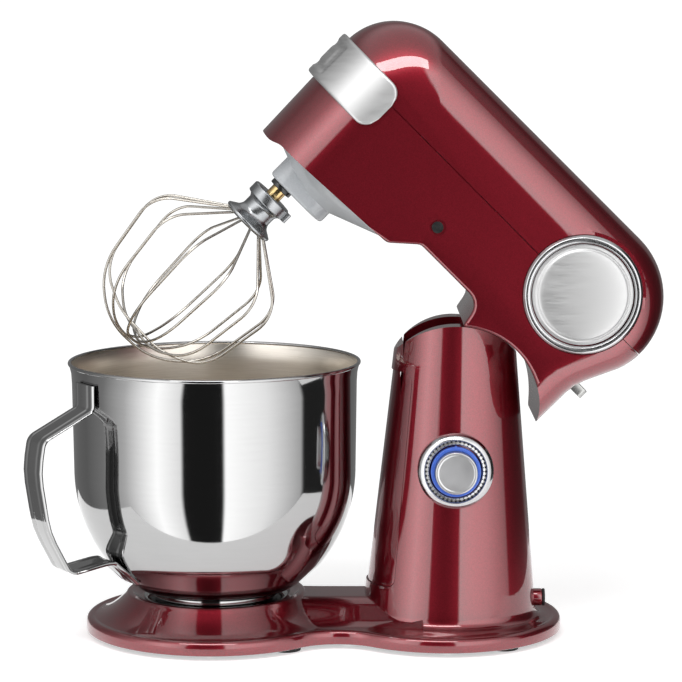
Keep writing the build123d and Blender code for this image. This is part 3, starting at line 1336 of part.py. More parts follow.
hub_flange, hub_neck, hub_collar = 20.5, 12.5, 16.7     # radii
lug_size = (7.0, 9.0)
with BuildPart() as whisk_hub:
    with BuildSketch(head_side()):
        Polygon((beater_x, hub_low), (beater_x - hub_flange + 2, hub_low),
                (beater_x - hub_flange, hub_low + 1), (beater_x - hub_flange, flange_top - 1),
                (beater_x - hub_neck - 1.5, flange_top + 3), (beater_x - hub_neck, flange_top + 6),
                (beater_x - hub_neck, neck_top - 1.5), (beater_x - hub_neck - 1.5, neck_top),
                (beater_x - hub_collar, neck_top + 1), (beater_x - hub_collar, hub_top - 1),
                (beater_x - hub_collar + 1, hub_top), (beater_x, hub_top), align=None)
    revolve(axis=upright_axis(beater_x))
    with BuildSketch(head_level(neck_top + 0.5)):
        with Locations((beater_x + hub_collar - 0.2, 0)):
            RectangleRounded(*lug_size, 1.5)
    extrude(amount=hub_top - neck_top - 1.5)
    with BuildSketch(head_level(beater_shaft_low - release_travel - 0.8)):
        with Locations((beater_x, 0)):
            Circle(shaft_radius + running_gap)
    extrude(amount=through, mode=Mode.SUBTRACT)
    with BuildSketch(head_level(pin_z_rest - pin_radius - release_travel - part_gap)):
        with Locations((beater_x, 0)):
            Rectangle(2 * (pin_radius + part_gap), 2 * pin_half_length + 1)
    extrude(amount=through, mode=Mode.SUBTRACT)
    add(whisk_wires.part, mode=Mode.SUBTRACT)
whisk_hub.part.label = "whisk_hub"
export_step(whisk_hub.part, "parts/whisk_hub.step")

# ---- head lock ------------------------------------------------------------------------------
lever_low, lever_high = 244.5, 251.5
lever_pin_radius = 2.0
pawl_low_z = 226.1
pawl_front, pawl_back, arm_end = 79.5, 85.5, 133.0
paddle_x, paddle_size, paddle_corner = 141.0, (22.0, 14.0), 4.0
bracket_half_width, bracket_length, bracket_low, bracket_height = 8.0, 14.0, 220.0, 35.0
bracket_gap_low, bracket_gap_width = 241.5, 9.0
spring_y, spring_outer, spring_inner, spring_thickness = 3.2, 3.6, 2.4, 1.1
with BuildPart() as lock_lever:
    with BuildSketch(head_side()):
        Polygon((pawl_front, lever_high), (pawl_front, pawl_low_z), (pawl_back, pawl_low_z),
                (pawl_back, lever_low), (arm_end, lever_low), (arm_end, lever_high), align=None)
        with Locations((pin_x, pin_z)):
            Circle(lever_pin_radius + running_gap, mode=Mode.SUBTRACT)
    extrude(amount=lock_plate_half, both=True)
    with BuildSketch(head_level(lever_low)):
        with Locations((paddle_x, 0)):
            RectangleRounded(*paddle_size, paddle_corner)
        with Locations((arm_end - lock_plate_half, 0)):
            Rectangle(2 * lock_plate_half, 2 * lock_plate_half)
    extrude(amount=lever_high - lever_low)
lock_lever.part.label = "lock_lever"
export_step(lock_lever.part, "parts/lock_lever.step")

with BuildPart() as lever_bracket:
    with BuildSketch(head_side()):
        with Locations((pin_x, bracket_low)):
            Rectangle(bracket_length, bracket_height, align=(Align.CENTER, Align.MIN))
        with Locations((pin_x, pin_z)):
            Circle(lever_pin_radius, mode=Mode.SUBTRACT)
    extrude(amount=bracket_half_width, both=True)
    with BuildSketch(head_level(bracket_gap_low)):
        with Locations((pin_x, 0)):
            Rectangle(2 * bracket_length, bracket_gap_width)
    extrude(amount=bracket_height, mode=Mode.SUBTRACT)
    with BuildSketch(head_side()):
        with Locations((pivot_x, pivot_z)):
            Circle(skirt_radius + head_wall)
    extrude(amount=through, both=True, mode=Mode.SUBTRACT)
lever_bracket.part.label = "lever_bracket"
export_step(lever_bracket.part, "parts/lever_bracket.step")

with BuildPart() as lever_pin:
    with BuildSketch(head_side()):
        with Locations((pin_x, pin_z)):
            Circle(lever_pin_radius)
    extrude(amount=bracket_half_width + 1, both=True)
lever_pin.part.label = "lever_pin"
export_step(lever_pin.part, "parts/lever_pin.step")

with BuildPart() as lever_spring:
    for side in (-1, 1):
        with BuildSketch(head_side(side * spring_y)):
            with Locations((pin_x, pin_z)):
                Circle(spring_outer)
                Circle(spring_inner, mode=Mode.SUBTRACT)
        extrude(amount=-side * spring_thickness)
lever_spring.part.label = "lever_spring"
export_step(lever_spring.part, "parts/lever_spring.step")
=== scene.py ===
import json
from math import atan2, cos, pi, radians, sin, sqrt

import bmesh
import bpy
from mathutils import Matrix, Vector


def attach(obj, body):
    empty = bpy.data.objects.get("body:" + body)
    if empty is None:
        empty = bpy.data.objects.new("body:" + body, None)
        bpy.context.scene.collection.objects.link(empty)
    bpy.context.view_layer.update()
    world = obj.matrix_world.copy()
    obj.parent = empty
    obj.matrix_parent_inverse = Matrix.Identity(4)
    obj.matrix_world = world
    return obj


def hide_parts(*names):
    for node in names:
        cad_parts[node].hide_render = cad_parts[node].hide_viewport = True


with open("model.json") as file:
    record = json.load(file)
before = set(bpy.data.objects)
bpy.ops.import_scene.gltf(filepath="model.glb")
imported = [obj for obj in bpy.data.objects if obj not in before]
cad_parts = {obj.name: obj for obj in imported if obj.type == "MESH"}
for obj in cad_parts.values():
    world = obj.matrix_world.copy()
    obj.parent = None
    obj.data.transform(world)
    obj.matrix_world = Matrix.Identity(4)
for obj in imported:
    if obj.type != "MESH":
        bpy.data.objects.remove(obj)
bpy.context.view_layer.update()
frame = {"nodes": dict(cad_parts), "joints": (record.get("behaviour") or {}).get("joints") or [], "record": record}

# ---- frames: shapes are drawn in millimetres, the head's as it sits when it is closed ------------
MM = 0.001
JOINTS = {joint["name"]: joint for joint in frame["joints"]}
pivot = Vector(JOINTS["head_tilt"]["pos_m"]) / MM
open_angle = radians(-JOINTS["head_tilt"]["range_deg"][0])
LEVEL = Matrix.Identity(4)
HEAD = Matrix.Translation(pivot) @ Matrix.Rotation(open_angle, 4, "Y") @ Matrix.Translation(-pivot)

bowl_x = -94.5                      # bowl axis, and the mixing axis of the closed head
orbit = 22.5
beater_x = bowl_x - orbit
head_half_width, head_wall = 60.0, 3.0
parting_z = 299.0
cap_x, cap_z, cap_seat_y = 89.5, 301.0, 56.5
shaft_z = 287.0                     # accessory outlet
shaft_way_radius = 6.4


# ---- shape helpers --------------------------------------------------------------------------------
def link(name, mesh):
    """Puts a mesh into the scene as an object."""
    obj = bpy.data.objects.new(name, mesh)
    bpy.context.scene.collection.objects.link(obj)
    return obj


def solid(name, verts, faces, place=LEVEL, crease=35.0):
    """Mesh object from millimetre points, with outward normals and smooth shading up to a crease."""
    mesh = bpy.data.meshes.new(name)
    mesh.from_pydata([tuple((place @ Vector(v)) * MM) for v in verts], [], faces)
    tidy(mesh, crease)
    return link(name, mesh)


def tidy(mesh, crease=35.0):
    """Merges doubles, points the normals outwards and shades smooth up to the crease angle."""
    bm = bmesh.new()
    bm.from_mesh(mesh)
    bmesh.ops.remove_doubles(bm, verts=bm.verts, dist=0.000004)
    bmesh.ops.dissolve_degenerate(bm, edges=bm.edges, dist=0.000002)
    bmesh.ops.recalc_face_normals(bm, faces=bm.faces)
    bm.to_mesh(mesh)
    bm.free()
    mesh.shade_smooth()
    mesh.set_sharp_from_angle(angle=radians(crease))


def rounded(points, radii, closed=False, steps=6):
    """A path of 2-D points with its corners turned into arcs; radii is one number or one per point."""
    count = len(points)
    if not isinstance(radii, (list, tuple)):
        radii = [radii] * count
    path = []
    for k, (point, radius) in enumerate(zip(points, radii)):
        here = Vector(point)
        if radius <= 0 or (not closed and k in (0, count - 1)):
            path.append(tuple(here))
            continue
        back = Vector(points[k - 1]) - here
        ahead = Vector(points[(k + 1) % count]) - here
        turn = pi - back.angle(ahead)
        if turn < 0.01:
            path.append(tuple(here))
            continue
        reach = min(radius * abs(sin(turn / 2) / cos(turn / 2)), 0.49 * back.length, 0.49 * ahead.length)
        start, end = here + back.normalized() * reach, here + ahead.normalized() * reach
        actual = reach * cos(turn / 2) / sin(turn / 2)
        middle = here + (back.normalized() + ahead.normalized()).normalized() * (actual / cos(turn / 2))
        first = atan2(*(start - middle).yx)
        sweep = atan2(*(end - middle).yx) - first
        sweep = (sweep + pi) % (2 * pi) - pi
        arc_steps = max(2, round(steps * abs(sweep) / (pi / 2)))
        for i in range(arc_steps + 1):
            angle = first + sweep * i / arc_steps
            path.append((middle.x + actual * cos(angle), middle.y + actual * sin(angle)))
    return path


def lathe(name, profile, place=LEVEL, ring=False, segments=144, crease=35.0):
    """Turned solid: profile is (radius, height) pairs; a ring's profile is a closed loop."""
    verts, faces = [], []
    count = len(profile)
    for k in range(segments):
        angle = 2 * pi * k / segments
        verts += [(r * cos(angle), r * sin(angle), z) for r, z in profile]
    for k in range(segments):
        here, there = k * count, (k + 1) % segments * count
        for i in range(count if ring else count - 1):
            j = (i + 1) % count
            faces.append((here + i, there + i, there + j, here + j))
    return solid(name, verts, faces, place, crease)


def prism(name, outline, low, high, place=LEVEL, crease=35.0):
    """Upright solid on an outline."""
    count = len(outline)
    verts = [(x, y, low) for x, y in outline] + [(x, y, high) for x, y in outline]
    faces = [tuple(range(count)), tuple(range(count, 2 * count))]
    faces += [(i, (i + 1) % count, count + (i + 1) % count, count + i) for i in range(count)]
    return solid(name, verts, faces, place, crease)


def loft(name, rings, place=LEVEL, crease=35.0, capped=True):
    """Skin over closed rings of equal length."""
    count = len(rings[0])
    verts = [point for ring in rings for point in ring]
    faces = []
    for k in range(len(rings) - 1):
        for i in range(count):
            j = (i + 1) % count
            faces.append((k * count + i, k * count + j, (k + 1) * count + j, (k + 1) * count + i))
    if capped:
        faces += [tuple(range(count)), tuple(range((len(rings) - 1) * count, len(rings) * count))]
    return solid(name, verts, faces, place, crease)


def tube(name, path, radius, place=LEVEL, sides=12):
    """Round tube along 3-D points, with closed ends."""
    path = [Vector(p) for p in path]
    rings = []
    normal = None
    for k, point in enumerate(path):
        along = (path[min(k + 1, len(path) - 1)] - path[max(k - 1, 0)]).normalized()
        if normal is None:
            normal = along.orthogonal().normalized()
        normal = (normal - along * normal.dot(along)).normalized()
        across = along.cross(normal)
        turns = [2 * pi * i / sides for i in range(sides)]
        rings.append([tuple(point + radius * (cos(turn) * normal + sin(turn) * across)) for turn in turns])
    return loft(name, rings, place, crease=60)


def bevel(obj, width, segments=3, angle=40.0):
    """Rounds an object's sharp edges."""
    rounding = obj.modifiers.new("rounding", "BEVEL")
    rounding.width = width * MM
    rounding.segments = segments
    rounding.limit_method = "ANGLE"
    rounding.angle_limit = radians(angle)
    rounding.use_clamp_overlap = True
    rounding.harden_normals = False
    return obj


def combine(obj, other, operation):
    """Exact boolean of obj with other, which is used up."""
    step = obj.modifiers.new("step", "BOOLEAN")
    step.operation = operation
    step.object = other
    step.solver = "EXACT"
    bpy.context.view_layer.update()
    result = bpy.data.meshes.new_from_object(obj.evaluated_get(bpy.context.evaluated_depsgraph_get()))
    obj.modifiers.remove(step)
    obj.data = result
    bpy.data.objects.remove(other)


def join(name, objects):
    """Joins objects into one mesh."""
    bm = bmesh.new()
    for obj in objects:
        bm.from_mesh(obj.data)
        bpy.data.objects.remove(obj)
    mesh = bpy.data.meshes.new(name)
    bm.to_mesh(mesh)
    bm.free()
    mesh.shade_smooth()
    mesh.set_sharp_from_angle(angle=radians(35))
    return link(name, mesh)


def across_y(x, y, z, side=-1):
    """Frame whose Z axis points out of the mixer's side at a point of the closed head."""
    return HEAD @ Matrix.Translation((x, y, z)) @ Matrix.Rotation(-side * pi / 2, 4, "X")


def ease(t):
    """Smooth step from 0 to 1."""
    t = min(max(t, 0.0), 1.0)
    return t * t * (3 - 2 * t)


# ---- materials --------------------------------------------------------------------------------------
def material(name, color, metallic, roughness, coat=0.0, coat_roughness=0.03, ior=1.5, anisotropic=0.0):
    """Principled material; returns it with its node tree's nodes, links and shader."""
    mat = bpy.data.materials.new(name)
    mat.use_nodes = True
    nodes, links = mat.node_tree.nodes, mat.node_tree.links
    shader = nodes["Principled BSDF"]
    shader.inputs["Base Color"].default_value = (*color, 1)
    shader.inputs["Metallic"].default_value = metallic
    shader.inputs["Roughness"].default_value = roughness
    shader.inputs["Coat Weight"].default_value = coat
    shader.inputs["Coat Roughness"].default_value = coat_roughness
    shader.inputs["IOR"].default_value = ior
    shader.inputs["Anisotropic"].default_value = anisotropic
    return mat, nodes, links, shader


def grain(nodes, links, scale, stretch=(1, 1, 1), detail=3.0):
    """Noise texture in object space, stretched along an axis."""
    place = nodes.new("ShaderNodeTexCoord")
    mapping = nodes.new("ShaderNodeMapping")
    mapping.inputs["Scale"].default_value = stretch
    noise = nodes.new("ShaderNodeTexNoise")
    noise.inputs["Scale"].default_value = scale
    noise.inputs["Detail"].default_value = detail
    links.new(place.outputs["Object"], mapping.inputs["Vector"])
    links.new(mapping.outputs["Vector"], noise.inputs["Vector"])
    return noise


def vary(nodes, links, source, socket, low, high):
    """Maps a 0..1 value onto a range of numbers at a socket."""
    span = nodes.new("ShaderNodeMapRange")
    span.inputs["To Min"].default_value = low
    span.inputs["To Max"].default_value = high
    links.new(source, span.inputs["Value"])
    links.new(span.outputs["Result"], socket)


def tint(nodes, links, source, socket, dark, light):
    """Maps a 0..1 value onto a blend of two colours at a socket."""
    ramp = nodes.new("ShaderNodeValToRGB")
    ramp.color_ramp.elements[0].position = 0.3
    ramp.color_ramp.elements[1].position = 0.7
    ramp.color_ramp.elements[0].color = (*dark, 1)
    ramp.color_ramp.elements[1].color = (*light, 1)
    links.new(source, ramp.inputs["Fac"])
    links.new(ramp.outputs["Color"], socket)


def bump(nodes, links, shader, source, strength, distance):
    """Fine relief from a height value."""
    relief = nodes.new("ShaderNodeBump")
    relief.inputs["Strength"].default_value = strength
    relief.inputs["Distance"].default_value = distance
    links.new(source, relief.inputs["Height"])
    links.new(relief.outputs["Normal"], shader.inputs["Normal"])


def enamel():
    """Candy red metallic enamel under a clear coat, with fine flakes and faint orange peel."""
    mat, nodes, links, shader = material("red_enamel", (0.20, 0.005, 0.014), 0.85, 0.34, 1.0, 0.015)
    shader.inputs["Coat IOR"].default_value = 1.85
    flakes = nodes.new("ShaderNodeTexVoronoi")
    flakes.inputs["Scale"].default_value = 2600
    place = nodes.new("ShaderNodeTexCoord")
    links.new(place.outputs["Object"], flakes.inputs["Vector"])
    tint(nodes, links, flakes.outputs["Color"], shader.inputs["Base Color"],
         (0.165, 0.004, 0.011), (0.235, 0.007, 0.018))
    peel = grain(nodes, links, 420)
    relief = nodes.new("ShaderNodeBump")
    relief.inputs["Strength"].default_value = 0.03
    relief.inputs["Distance"].default_value = 0.0002
    links.new(peel.outputs["Fac"], relief.inputs["Height"])
    links.new(relief.outputs["Normal"], shader.inputs["Coat Normal"])
    return mat


def metal(name, dark, light, roughness, scale, stretch, relief=0.05, anisotropic=0.0):
    """Metal with a directional grain in colour, roughness and relief."""
    mat, nodes, links, shader = material(name, light, 1.0, roughness, anisotropic=anisotropic)
    noise = grain(nodes, links, scale, stretch)
    tint(nodes, links, noise.outputs["Fac"], shader.inputs["Base Color"], dark, light)
    vary(nodes, links, noise.outputs["Fac"], shader.inputs["Roughness"], 0.8 * roughness, 1.25 * roughness)
    bump(nodes, links, shader, noise.outputs["Fac"], relief, 0.0001)
    return mat


def plastic(name, dark, light, roughness, scale=900, relief=0.1, coat=0.0):
    """Moulded plastic or rubber with a fine spark-eroded grain."""
    mat, nodes, links, shader = material(name, light, 0.0, roughness, coat)
    noise = grain(nodes, links, scale)
    tint(nodes, links, noise.outputs["Fac"], shader.inputs["Base Color"], dark, light)
    vary(nodes, links, noise.outputs["Fac"], shader.inputs["Roughness"],
         0.9 * roughness, min(1.0, 1.15 * roughness))
    bump(nodes, links, shader, noise.outputs["Fac"], relief, 0.0002)
    return mat


MATERIALS = {
    "red_enamel": enamel(),
    "satin_metal": metal("satin_metal", (0.56, 0.56, 0.56), (0.575, 0.575, 0.575), 0.42,
                         60, (1, 1, 12), 0.01),
    "chrome_trim": metal("chrome_trim", (0.52, 0.52, 0.53), (0.56, 0.56, 0.57), 0.16, 300, (1, 1, 1), 0.02),
    "dial_metal": metal("dial_metal", (0.56, 0.56, 0.57), (0.62, 0.62, 0.63), 0.33, 50, (1, 12, 1), 0.01),
    "scale_ring": metal("scale_ring", (0.56, 0.56, 0.56), (0.64, 0.64, 0.64), 0.3, 200, (1, 1, 1), 0.02),
    "light_ring": plastic("light_ring", (0.04, 0.11, 0.5), (0.055, 0.14, 0.58), 0.35, coat=0.3),
    "bowl_steel": metal("bowl_steel", (0.41, 0.41, 0.41), (0.42, 0.42, 0.42), 0.06, 40, (1, 1, 14), 0.01),
    "planet_grey": plastic("planet_grey", (0.42, 0.44, 0.46), (0.47, 0.49, 0.51), 0.3, coat=0.4),
    "whisk_cast": metal("whisk_cast", (0.30, 0.31, 0.32), (0.38, 0.39, 0.40), 0.26, 200, (1, 1, 1), 0.06),
    "whisk_wire": metal("whisk_wire", (0.44, 0.41, 0.37), (0.58, 0.55, 0.50), 0.2, 200, (1, 1, 1), 0.03),
    "shaft_brass": metal("shaft_brass", (0.5, 0.36, 0.16), (0.7, 0.52, 0.26), 0.2, 80, (1, 1, 10)),
    "bush_bronze": metal("bush_bronze", (0.4, 0.28, 0.14), (0.55, 0.4, 0.22), 0.35, 300, (1, 1, 1)),
    "collar_black": plastic("collar_black", (0.01, 0.01, 0.01), (0.02, 0.02, 0.02), 0.25, coat=0.3),
    "black_plastic": plastic("black_plastic", (0.015, 0.015, 0.017), (0.028, 0.028, 0.03), 0.5),
    "board_green": plastic("board_green", (0.02, 0.14, 0.05), (0.03, 0.2, 0.08), 0.4),
    "encoder_plastic": plastic("encoder_plastic", (0.05, 0.05, 0.055), (0.08, 0.08, 0.09), 0.5),
    "rubber": plastic("rubber", (0.012, 0.012, 0.012), (0.022, 0.022, 0.022), 0.75, 700, 0.2),
    "lever_metal": metal("lever_metal", (0.40, 0.40, 0.39), (0.5, 0.5, 0.49), 0.3, 200, (1, 1, 1), 0.06),
    "steel": metal("steel", (0.45, 0.45, 0.45), (0.56, 0.56, 0.56), 0.32, 120, (1, 8, 1)),
    "fastener_steel": metal("fastener_steel", (0.5, 0.5, 0.5), (0.62, 0.62, 0.62), 0.3, 400, (1, 1, 1)),
    "gear_steel": metal("gear_steel", (0.36, 0.36, 0.36), (0.46, 0.46, 0.46), 0.3, 300, (1, 1, 1)),
    "gear_housing": metal("gear_housing", (0.45, 0.45, 0.45), (0.55, 0.55, 0.55), 0.5, 500, (1, 1, 1), 0.3),
    "pulley": plastic("pulley", (0.6, 0.58, 0.5), (0.7, 0.68, 0.6), 0.45),
    "copper": metal("copper", (0.55, 0.28, 0.14), (0.7, 0.38, 0.2), 0.25, 100, (8, 1, 1)),
}
# inside of the bowl: real brushed grain, with its colour made lighter and warmer than the outside's as painted
# light
bowl_inside_brushed_painted_light = metal("bowl_inside_brushed_painted_light", (0.74, 0.69, 0.62), (0.84, 0.79, 0.72), 0.3,
                          40, (1, 1, 40), 0.03)
mark_black = plastic("mark_black", (0.01, 0.01, 0.01), (0.02, 0.02, 0.02), 0.4)
# near-black metal for the head screws: painted shade of the recesses they sit in
screw_painted_shade = metal("screw_painted_shade", (0.03, 0.03, 0.03), (0.06, 0.06, 0.06), 0.35, 300, (1, 1, 1), 0.04)

SLOT_OF = {part["node"]: part["material_slot"] for part in frame["record"]["subparts"]}
BODY_OF = {node: body for body, nodes in frame["record"]["behaviour"]["bodies"].items() for node in nodes}


def finish_part(obj, *nodes, extra=()):
    """Gives a piece the finish and body of the CAD nodes that it stands for, and hides those nodes."""
    slot = SLOT_OF[nodes[0]]
    obj.data.materials.append(MATERIALS[slot])
    for mat in extra:
        obj.data.materials.append(mat)
    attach(obj, BODY_OF[nodes[0]])
    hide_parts(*nodes)
    return obj


# ---- head shells ------------------------------------------------------------------------------------
nose_front_x, nose_centre_x = -159.5, -104.5
nose_arc = Vector((-110.5, 309.0))
nose_arc_radius = 49.0
tail_arc = Vector((95.0, 301.0))
tail_arc_radius = 58.0
barrel_shoulder, barrel_flat = 36.0, 24.0
tail_shoulder, tail_flat = 22.0, 38.0
tail_wall_x = 135.0
body_low_z = 200.0
top_z, ridge_side_z = 358.0, 322.0      # barrel's top, and the line where its shoulder starts
seam_half = 0.25


def head_stations(inset):
    """Pairs round the head's side view: the middle line's point, the flat side's point, and how far
    the middle line's strip reaches sideways before it rounds over."""
    stations = []
    for k in range(9):
        z = body_low_z + (nose_arc.y - body_low_z) * k / 8
        lean = 2.7 * (nose_arc.y - z) / 87
        stations.append((Vector((nose_front_x + lean + inset, z)), Vector((nose_centre_x, z)), 0.0))
    for k in range(1, 25):
        t = k / 24
        angle = pi - t * pi / 2
        point = nose_arc + (nose_arc_radius - inset) * Vector((cos(angle), sin(angle)))
        side = Vector((nose_centre_x + 26 * ease(t), nose_arc.y + 13 * ease(t)))
        stations.append((point, side, barrel_flat * ease(t)))
    start_shift = nose_centre_x + 26 - nose_arc.x
    for k in range(1, 17):
        t = k / 16
        x = nose_arc.x + t * (tail_arc.x - nose_arc.x)
        shift = start_shift * (1 - ease(min(1.0, t / 0.5)))
        stations.append((Vector((x, top_z + t - inset)), Vector((x + shift, ridge_side_z + t)), barrel_flat))
    for k in range(1, 25):
        t = k / 24
        angle = pi / 2 - t * radians(110)
        direction = Vector((cos(angle), sin(angle)))
        depth = barrel_shoulder + (tail_shoulder - barrel_shoulder) * ease(t)
        flat = barrel_flat + (tail_flat - barrel_flat) * ease(t)
        stations.append((tail_arc + (tail_arc_radius - inset) * direction,
                         tail_arc + (tail_arc_radius - depth) * direction, flat))
    last = tail_arc + tail_arc_radius * Vector((cos(radians(-20)), sin(radians(-20))))
    lower = rounded([tuple(last), (tail_wall_x, 250), (tail_wall_x, body_low_z)], 40)
    for x, z in lower[1:]:
        stations.append((Vector((x - inset, z)), Vector((x - tail_shoulder, z)), tail_flat))
    return stations


def head_form(name, inset):
    """Closed form of the head: rounded rim all round and flat sides, cut off flat underneath."""
    stations = head_stations(inset)
    half_width = head_half_width - inset
    turns = 14
    profile = []
    for point, side, flat in stations:
        row = []
        for i in range(turns + 1):
            v = pi / 2 * i / turns
            place = side + (point - side) * cos(v)
            row.append((place.x, flat + (half_width - flat) * sin(v), place.y))
        profile.append(row)
    verts, faces = [], []
    width = turns + 1
    for row in profile:
        verts += row
    for row in profile:
        verts += [(x, -y, z) for x, y, z in row]
    offset = len(profile) * width
    for k in range(len(profile) - 1):
        for i in range(turns):
            a, b = k * width + i, (k + 1) * width + i
            faces.append((a, b, b + 1, a + 1))
            faces.append((offset + a, offset + a + 1, offset + b + 1, offset + b))
        a, b = k * width, (k + 1) * width
        faces.append((a, offset + a, offset + b, b))
    for start in (0, offset):
        faces.append(tuple(start + k * width + turns for k in range(len(profile))))
    first, last = 0, (len(profile) - 1) * width
    underside = [first + turns - i for i in range(width)] + [offset + i for i in range(width)]
    underside += [offset + last + turns - i for i in range(width)] + [last + i for i in range(width)]
    faces.append(tuple(underside))
    return solid(name, verts, faces, HEAD)


def undercut(name, rise):
    """Everything below the head's lower outline, raised by rise."""
    skirt = 60.0 + rise
    last_angle = 132 if rise == 0 else 126
    front, back, below, half_width = -190, 180, 190, 90
    arc = [(pivot.x + skirt * cos(radians(a)), pivot.z + skirt * sin(radians(a)))
           for a in range(30, last_angle + 1, 3)]
    neck = rounded([arc[-1], (40.5 + rise, 243.7 + rise), (-19, 243.7 + rise), (-37, 227.5 + rise),
                    (-141, 222.4 + rise), (-149, 218.5 + rise), (front, 218.5 + rise)],
                   [0, 15, 7, 7, 12, 12, 0])
    outline = [(back, below), (back, arc[0][1])] + arc + neck[1:] + [(front, below)]
    place = HEAD @ Matrix.Rotation(pi / 2, 4, "X")
    return prism(name, outline, -half_width, half_width, place)


def drill(name, radius, low, high, place, segments=128):
    """Cutter: a plain round bar."""
    return lathe(name, [(0, low), (radius, low), (radius, high), (0, high)], place, segments=segments)


def box_cutter(name, low, high, place):
    """Cutter: a plain block."""
    outline = [(low[0], low[1]), (high[0], low[1]), (high[0], high[1]), (low[0], high[1])]
    return prism(name, outline, low[2], high[2], place)


def soften_lower_edge(body):
    """Rounds the edge between the head's flat sides and its underside."""
    bm = bmesh.new()
    bm.from_mesh(body.data)
    to_closed = HEAD.inverted()
    radius, nearly = 3.0, 0.05
    highest, behind_x = 246, -60
    edges = []
    for edge in bm.edges:
        points = [to_closed @ (vert.co / MM) for vert in edge.verts]
        on_side = all(abs(abs(p.y) - head_half_width) < nearly for p in points)
        low = all(p.z < highest and p.x > behind_x for p in points)
        if on_side and low and len(edge.link_faces) == 2 and edge.calc_face_angle() > radians(60):
            edges.append(edge)
    bmesh.ops.bevel(bm, geom=edges, offset=radius * MM, segments=5, profile=0.5, affect="EDGES")
    bm.to_mesh(body.data)
    bm.free()


def open_head(body):
    """Cuts the openings for the planetary, outlet, caps, screws and lever."""
    chin = HEAD @ Matrix.Translation((bowl_x, 0, 0))
    combine(body, drill("chin", 57, 190, 234, chin), "DIFFERENCE")
    nose = HEAD @ Matrix.Translation((-180, 0, shaft_z)) @ Matrix.Rotation(pi / 2, 4, "Y")
    combine(body, drill("outlet", 15, 0, 40, nose), "DIFFERENCE")
    for side in (-1, 1):
        seat = across_y(cap_x, side * cap_seat_y, cap_z, side)
        combine(body, drill("seat_floor", 46, -3, 0.6, seat), "UNION")
        combine(body, drill("seat", 43.8, 0, 12, seat), "DIFFERENCE")
        screw = across_y(-19.3, side * head_half_width, 261.2, side)
        combine(body, drill("screw_recess", 6, -1.8, 3, screw, 48), "DIFFERENCE")
    combine(body, box_cutter("leg_slot", (76.5, -4, 228), (88.5, 4, 250), HEAD), "DIFFERENCE")
    combine(body, box_cutter("paddle_hole", (125, -9, 238.5), (150, 9, 253.5), HEAD), "DIFFERENCE")


def head_shells():
    """Upper and lower shell: the hollow head, opened and parted along its seam."""
    body = head_form("head_body", 0.0)
    combine(body, undercut("below", 0.0), "DIFFERENCE")
    soften_lower_edge(body)
    hollow = head_form("head_hollow", head_wall)
    combine(hollow, undercut("below_inside", head_wall), "DIFFERENCE")
    combine(body, hollow, "DIFFERENCE")
    open_head(body)
    lower = link("head_lower_shell_skin", body.data.copy())
    upper = body
    upper.name = "head_upper_shell_skin"
    seam = (HEAD @ Vector((0, 0, parting_z))) * MM
    normal = (HEAD.to_3x3() @ Vector((0, 0, 1))).normalized()
    for obj, sign in ((upper, 1), (lower, -1)):
        bm = bmesh.new()
        bm.from_mesh(obj.data)
        cut_at = seam + normal * (sign * seam_half * MM)
        cut = bmesh.ops.bisect_plane(bm, geom=bm.verts[:] + bm.edges[:] + bm.faces[:], plane_co=cut_at,
                                     plane_no=normal * sign, clear_inner=True)
        rim = [e for e in cut["geom_cut"] if isinstance(e, bmesh.types.BMEdge)]
        bmesh.ops.triangle_fill(bm, edges=rim, use_beauty=True)
        bm.to_mesh(obj.data)
        bm.free()
        tidy(obj.data, 32)
    return upper, lower


def hinge_lugs():
    """Two lugs that reach down from the skirt to the tilt axle, with their bosses."""
    lugs = []
    inner, outer = 4.5, 21.8
    eye_radius, root_radius, bore_radius = 17, 61.5, 7.5
    for side in (-1, 1):
        outline = [(pivot.x + eye_radius * cos(radians(a)), pivot.z + eye_radius * sin(radians(a)))
                   for a in range(60, -181, -15)]
        outline += [(pivot.x + root_radius * cos(radians(a)), pivot.z + root_radius * sin(radians(a)))
                    for a in range(127, 96, -5)]
        place = HEAD @ Matrix.Rotation(pi / 2, 4, "X")
        low, high = sorted((-side * inner, -side * outer))
        lug = prism("lug", outline, low, high, place)
        bore = across_y(pivot.x, 0, pivot.z, -1)
        combine(lug, drill("bore", bore_radius, -30, 30, bore, 64), "DIFFERENCE")
        lugs.append(lug)
    return lugs


upper_skin, lower_skin = head_shells()
lower_skin = join("head_lower_shell_skin", [lower_skin] + hinge_lugs())
finish_part(upper_skin, "head_upper_shell")
finish_part(lower_skin, "head_lower_shell")
for skin in (upper_skin, lower_skin):
    bevel(skin, 0.5, 2, 55)


# ---- side caps --------------------------------------------------------------------------------------
def side_caps():
    """Chromed ring and domed satin disc on each side of the head."""
    disc_radius, dome_radius, dome_edge, dome_rise = 36.8, 32.6, 3.3, 2.6
    ring = rounded([(37.5, 0), (37.5, 4.4), (38.6, 5.9), (41.6, 6.0), (43.4, 3.6), (43.4, 0)],
                   [0, 0.5, 0.8, 1.6, 1.5, 0], closed=True)
    groove = rounded([(disc_radius, 0.5), (disc_radius, 2.6), (34.5, dome_edge), (33.5, 2.9),
                      (dome_radius, dome_edge)], [0, 0.7, 0.5, 0.4, 0])
    angles = [pi / 2 * k / 12 for k in range(1, 13)]
    dome = [(dome_radius * cos(a), dome_edge + dome_rise * sin(a)) for a in angles]
    disc = [(0, 0), (disc_radius, 0)] + groove + dome
    for side, name in ((-1, "left"), (1, "right")):
        place = across_y(cap_x, side * cap_seat_y, cap_z, side)
        ring_skin = lathe("side_cap_ring_" + name + "_skin", ring, place, ring=True)
        finish_part(ring_skin, "side_cap_ring_" + name)
        finish_part(lathe("side_cap_" + name + "_skin", disc, place), "side_cap_" + name)


side_caps()


# ---- port cover -------------------------------------------------------------------------------------
cover_low, cover_high = 273.5, 311.7
cover_length, cover_width = 60.2, 62.6          # half axes of its outside, seen from above
cover_inner_length, cover_inner_width = 55.7, 60.45
panel_margin, panel_half_width, panel_depth = 7, 31.5, 1.1
raised_margin, raised_half_width, raised_height = 12.5, 25, 0.7


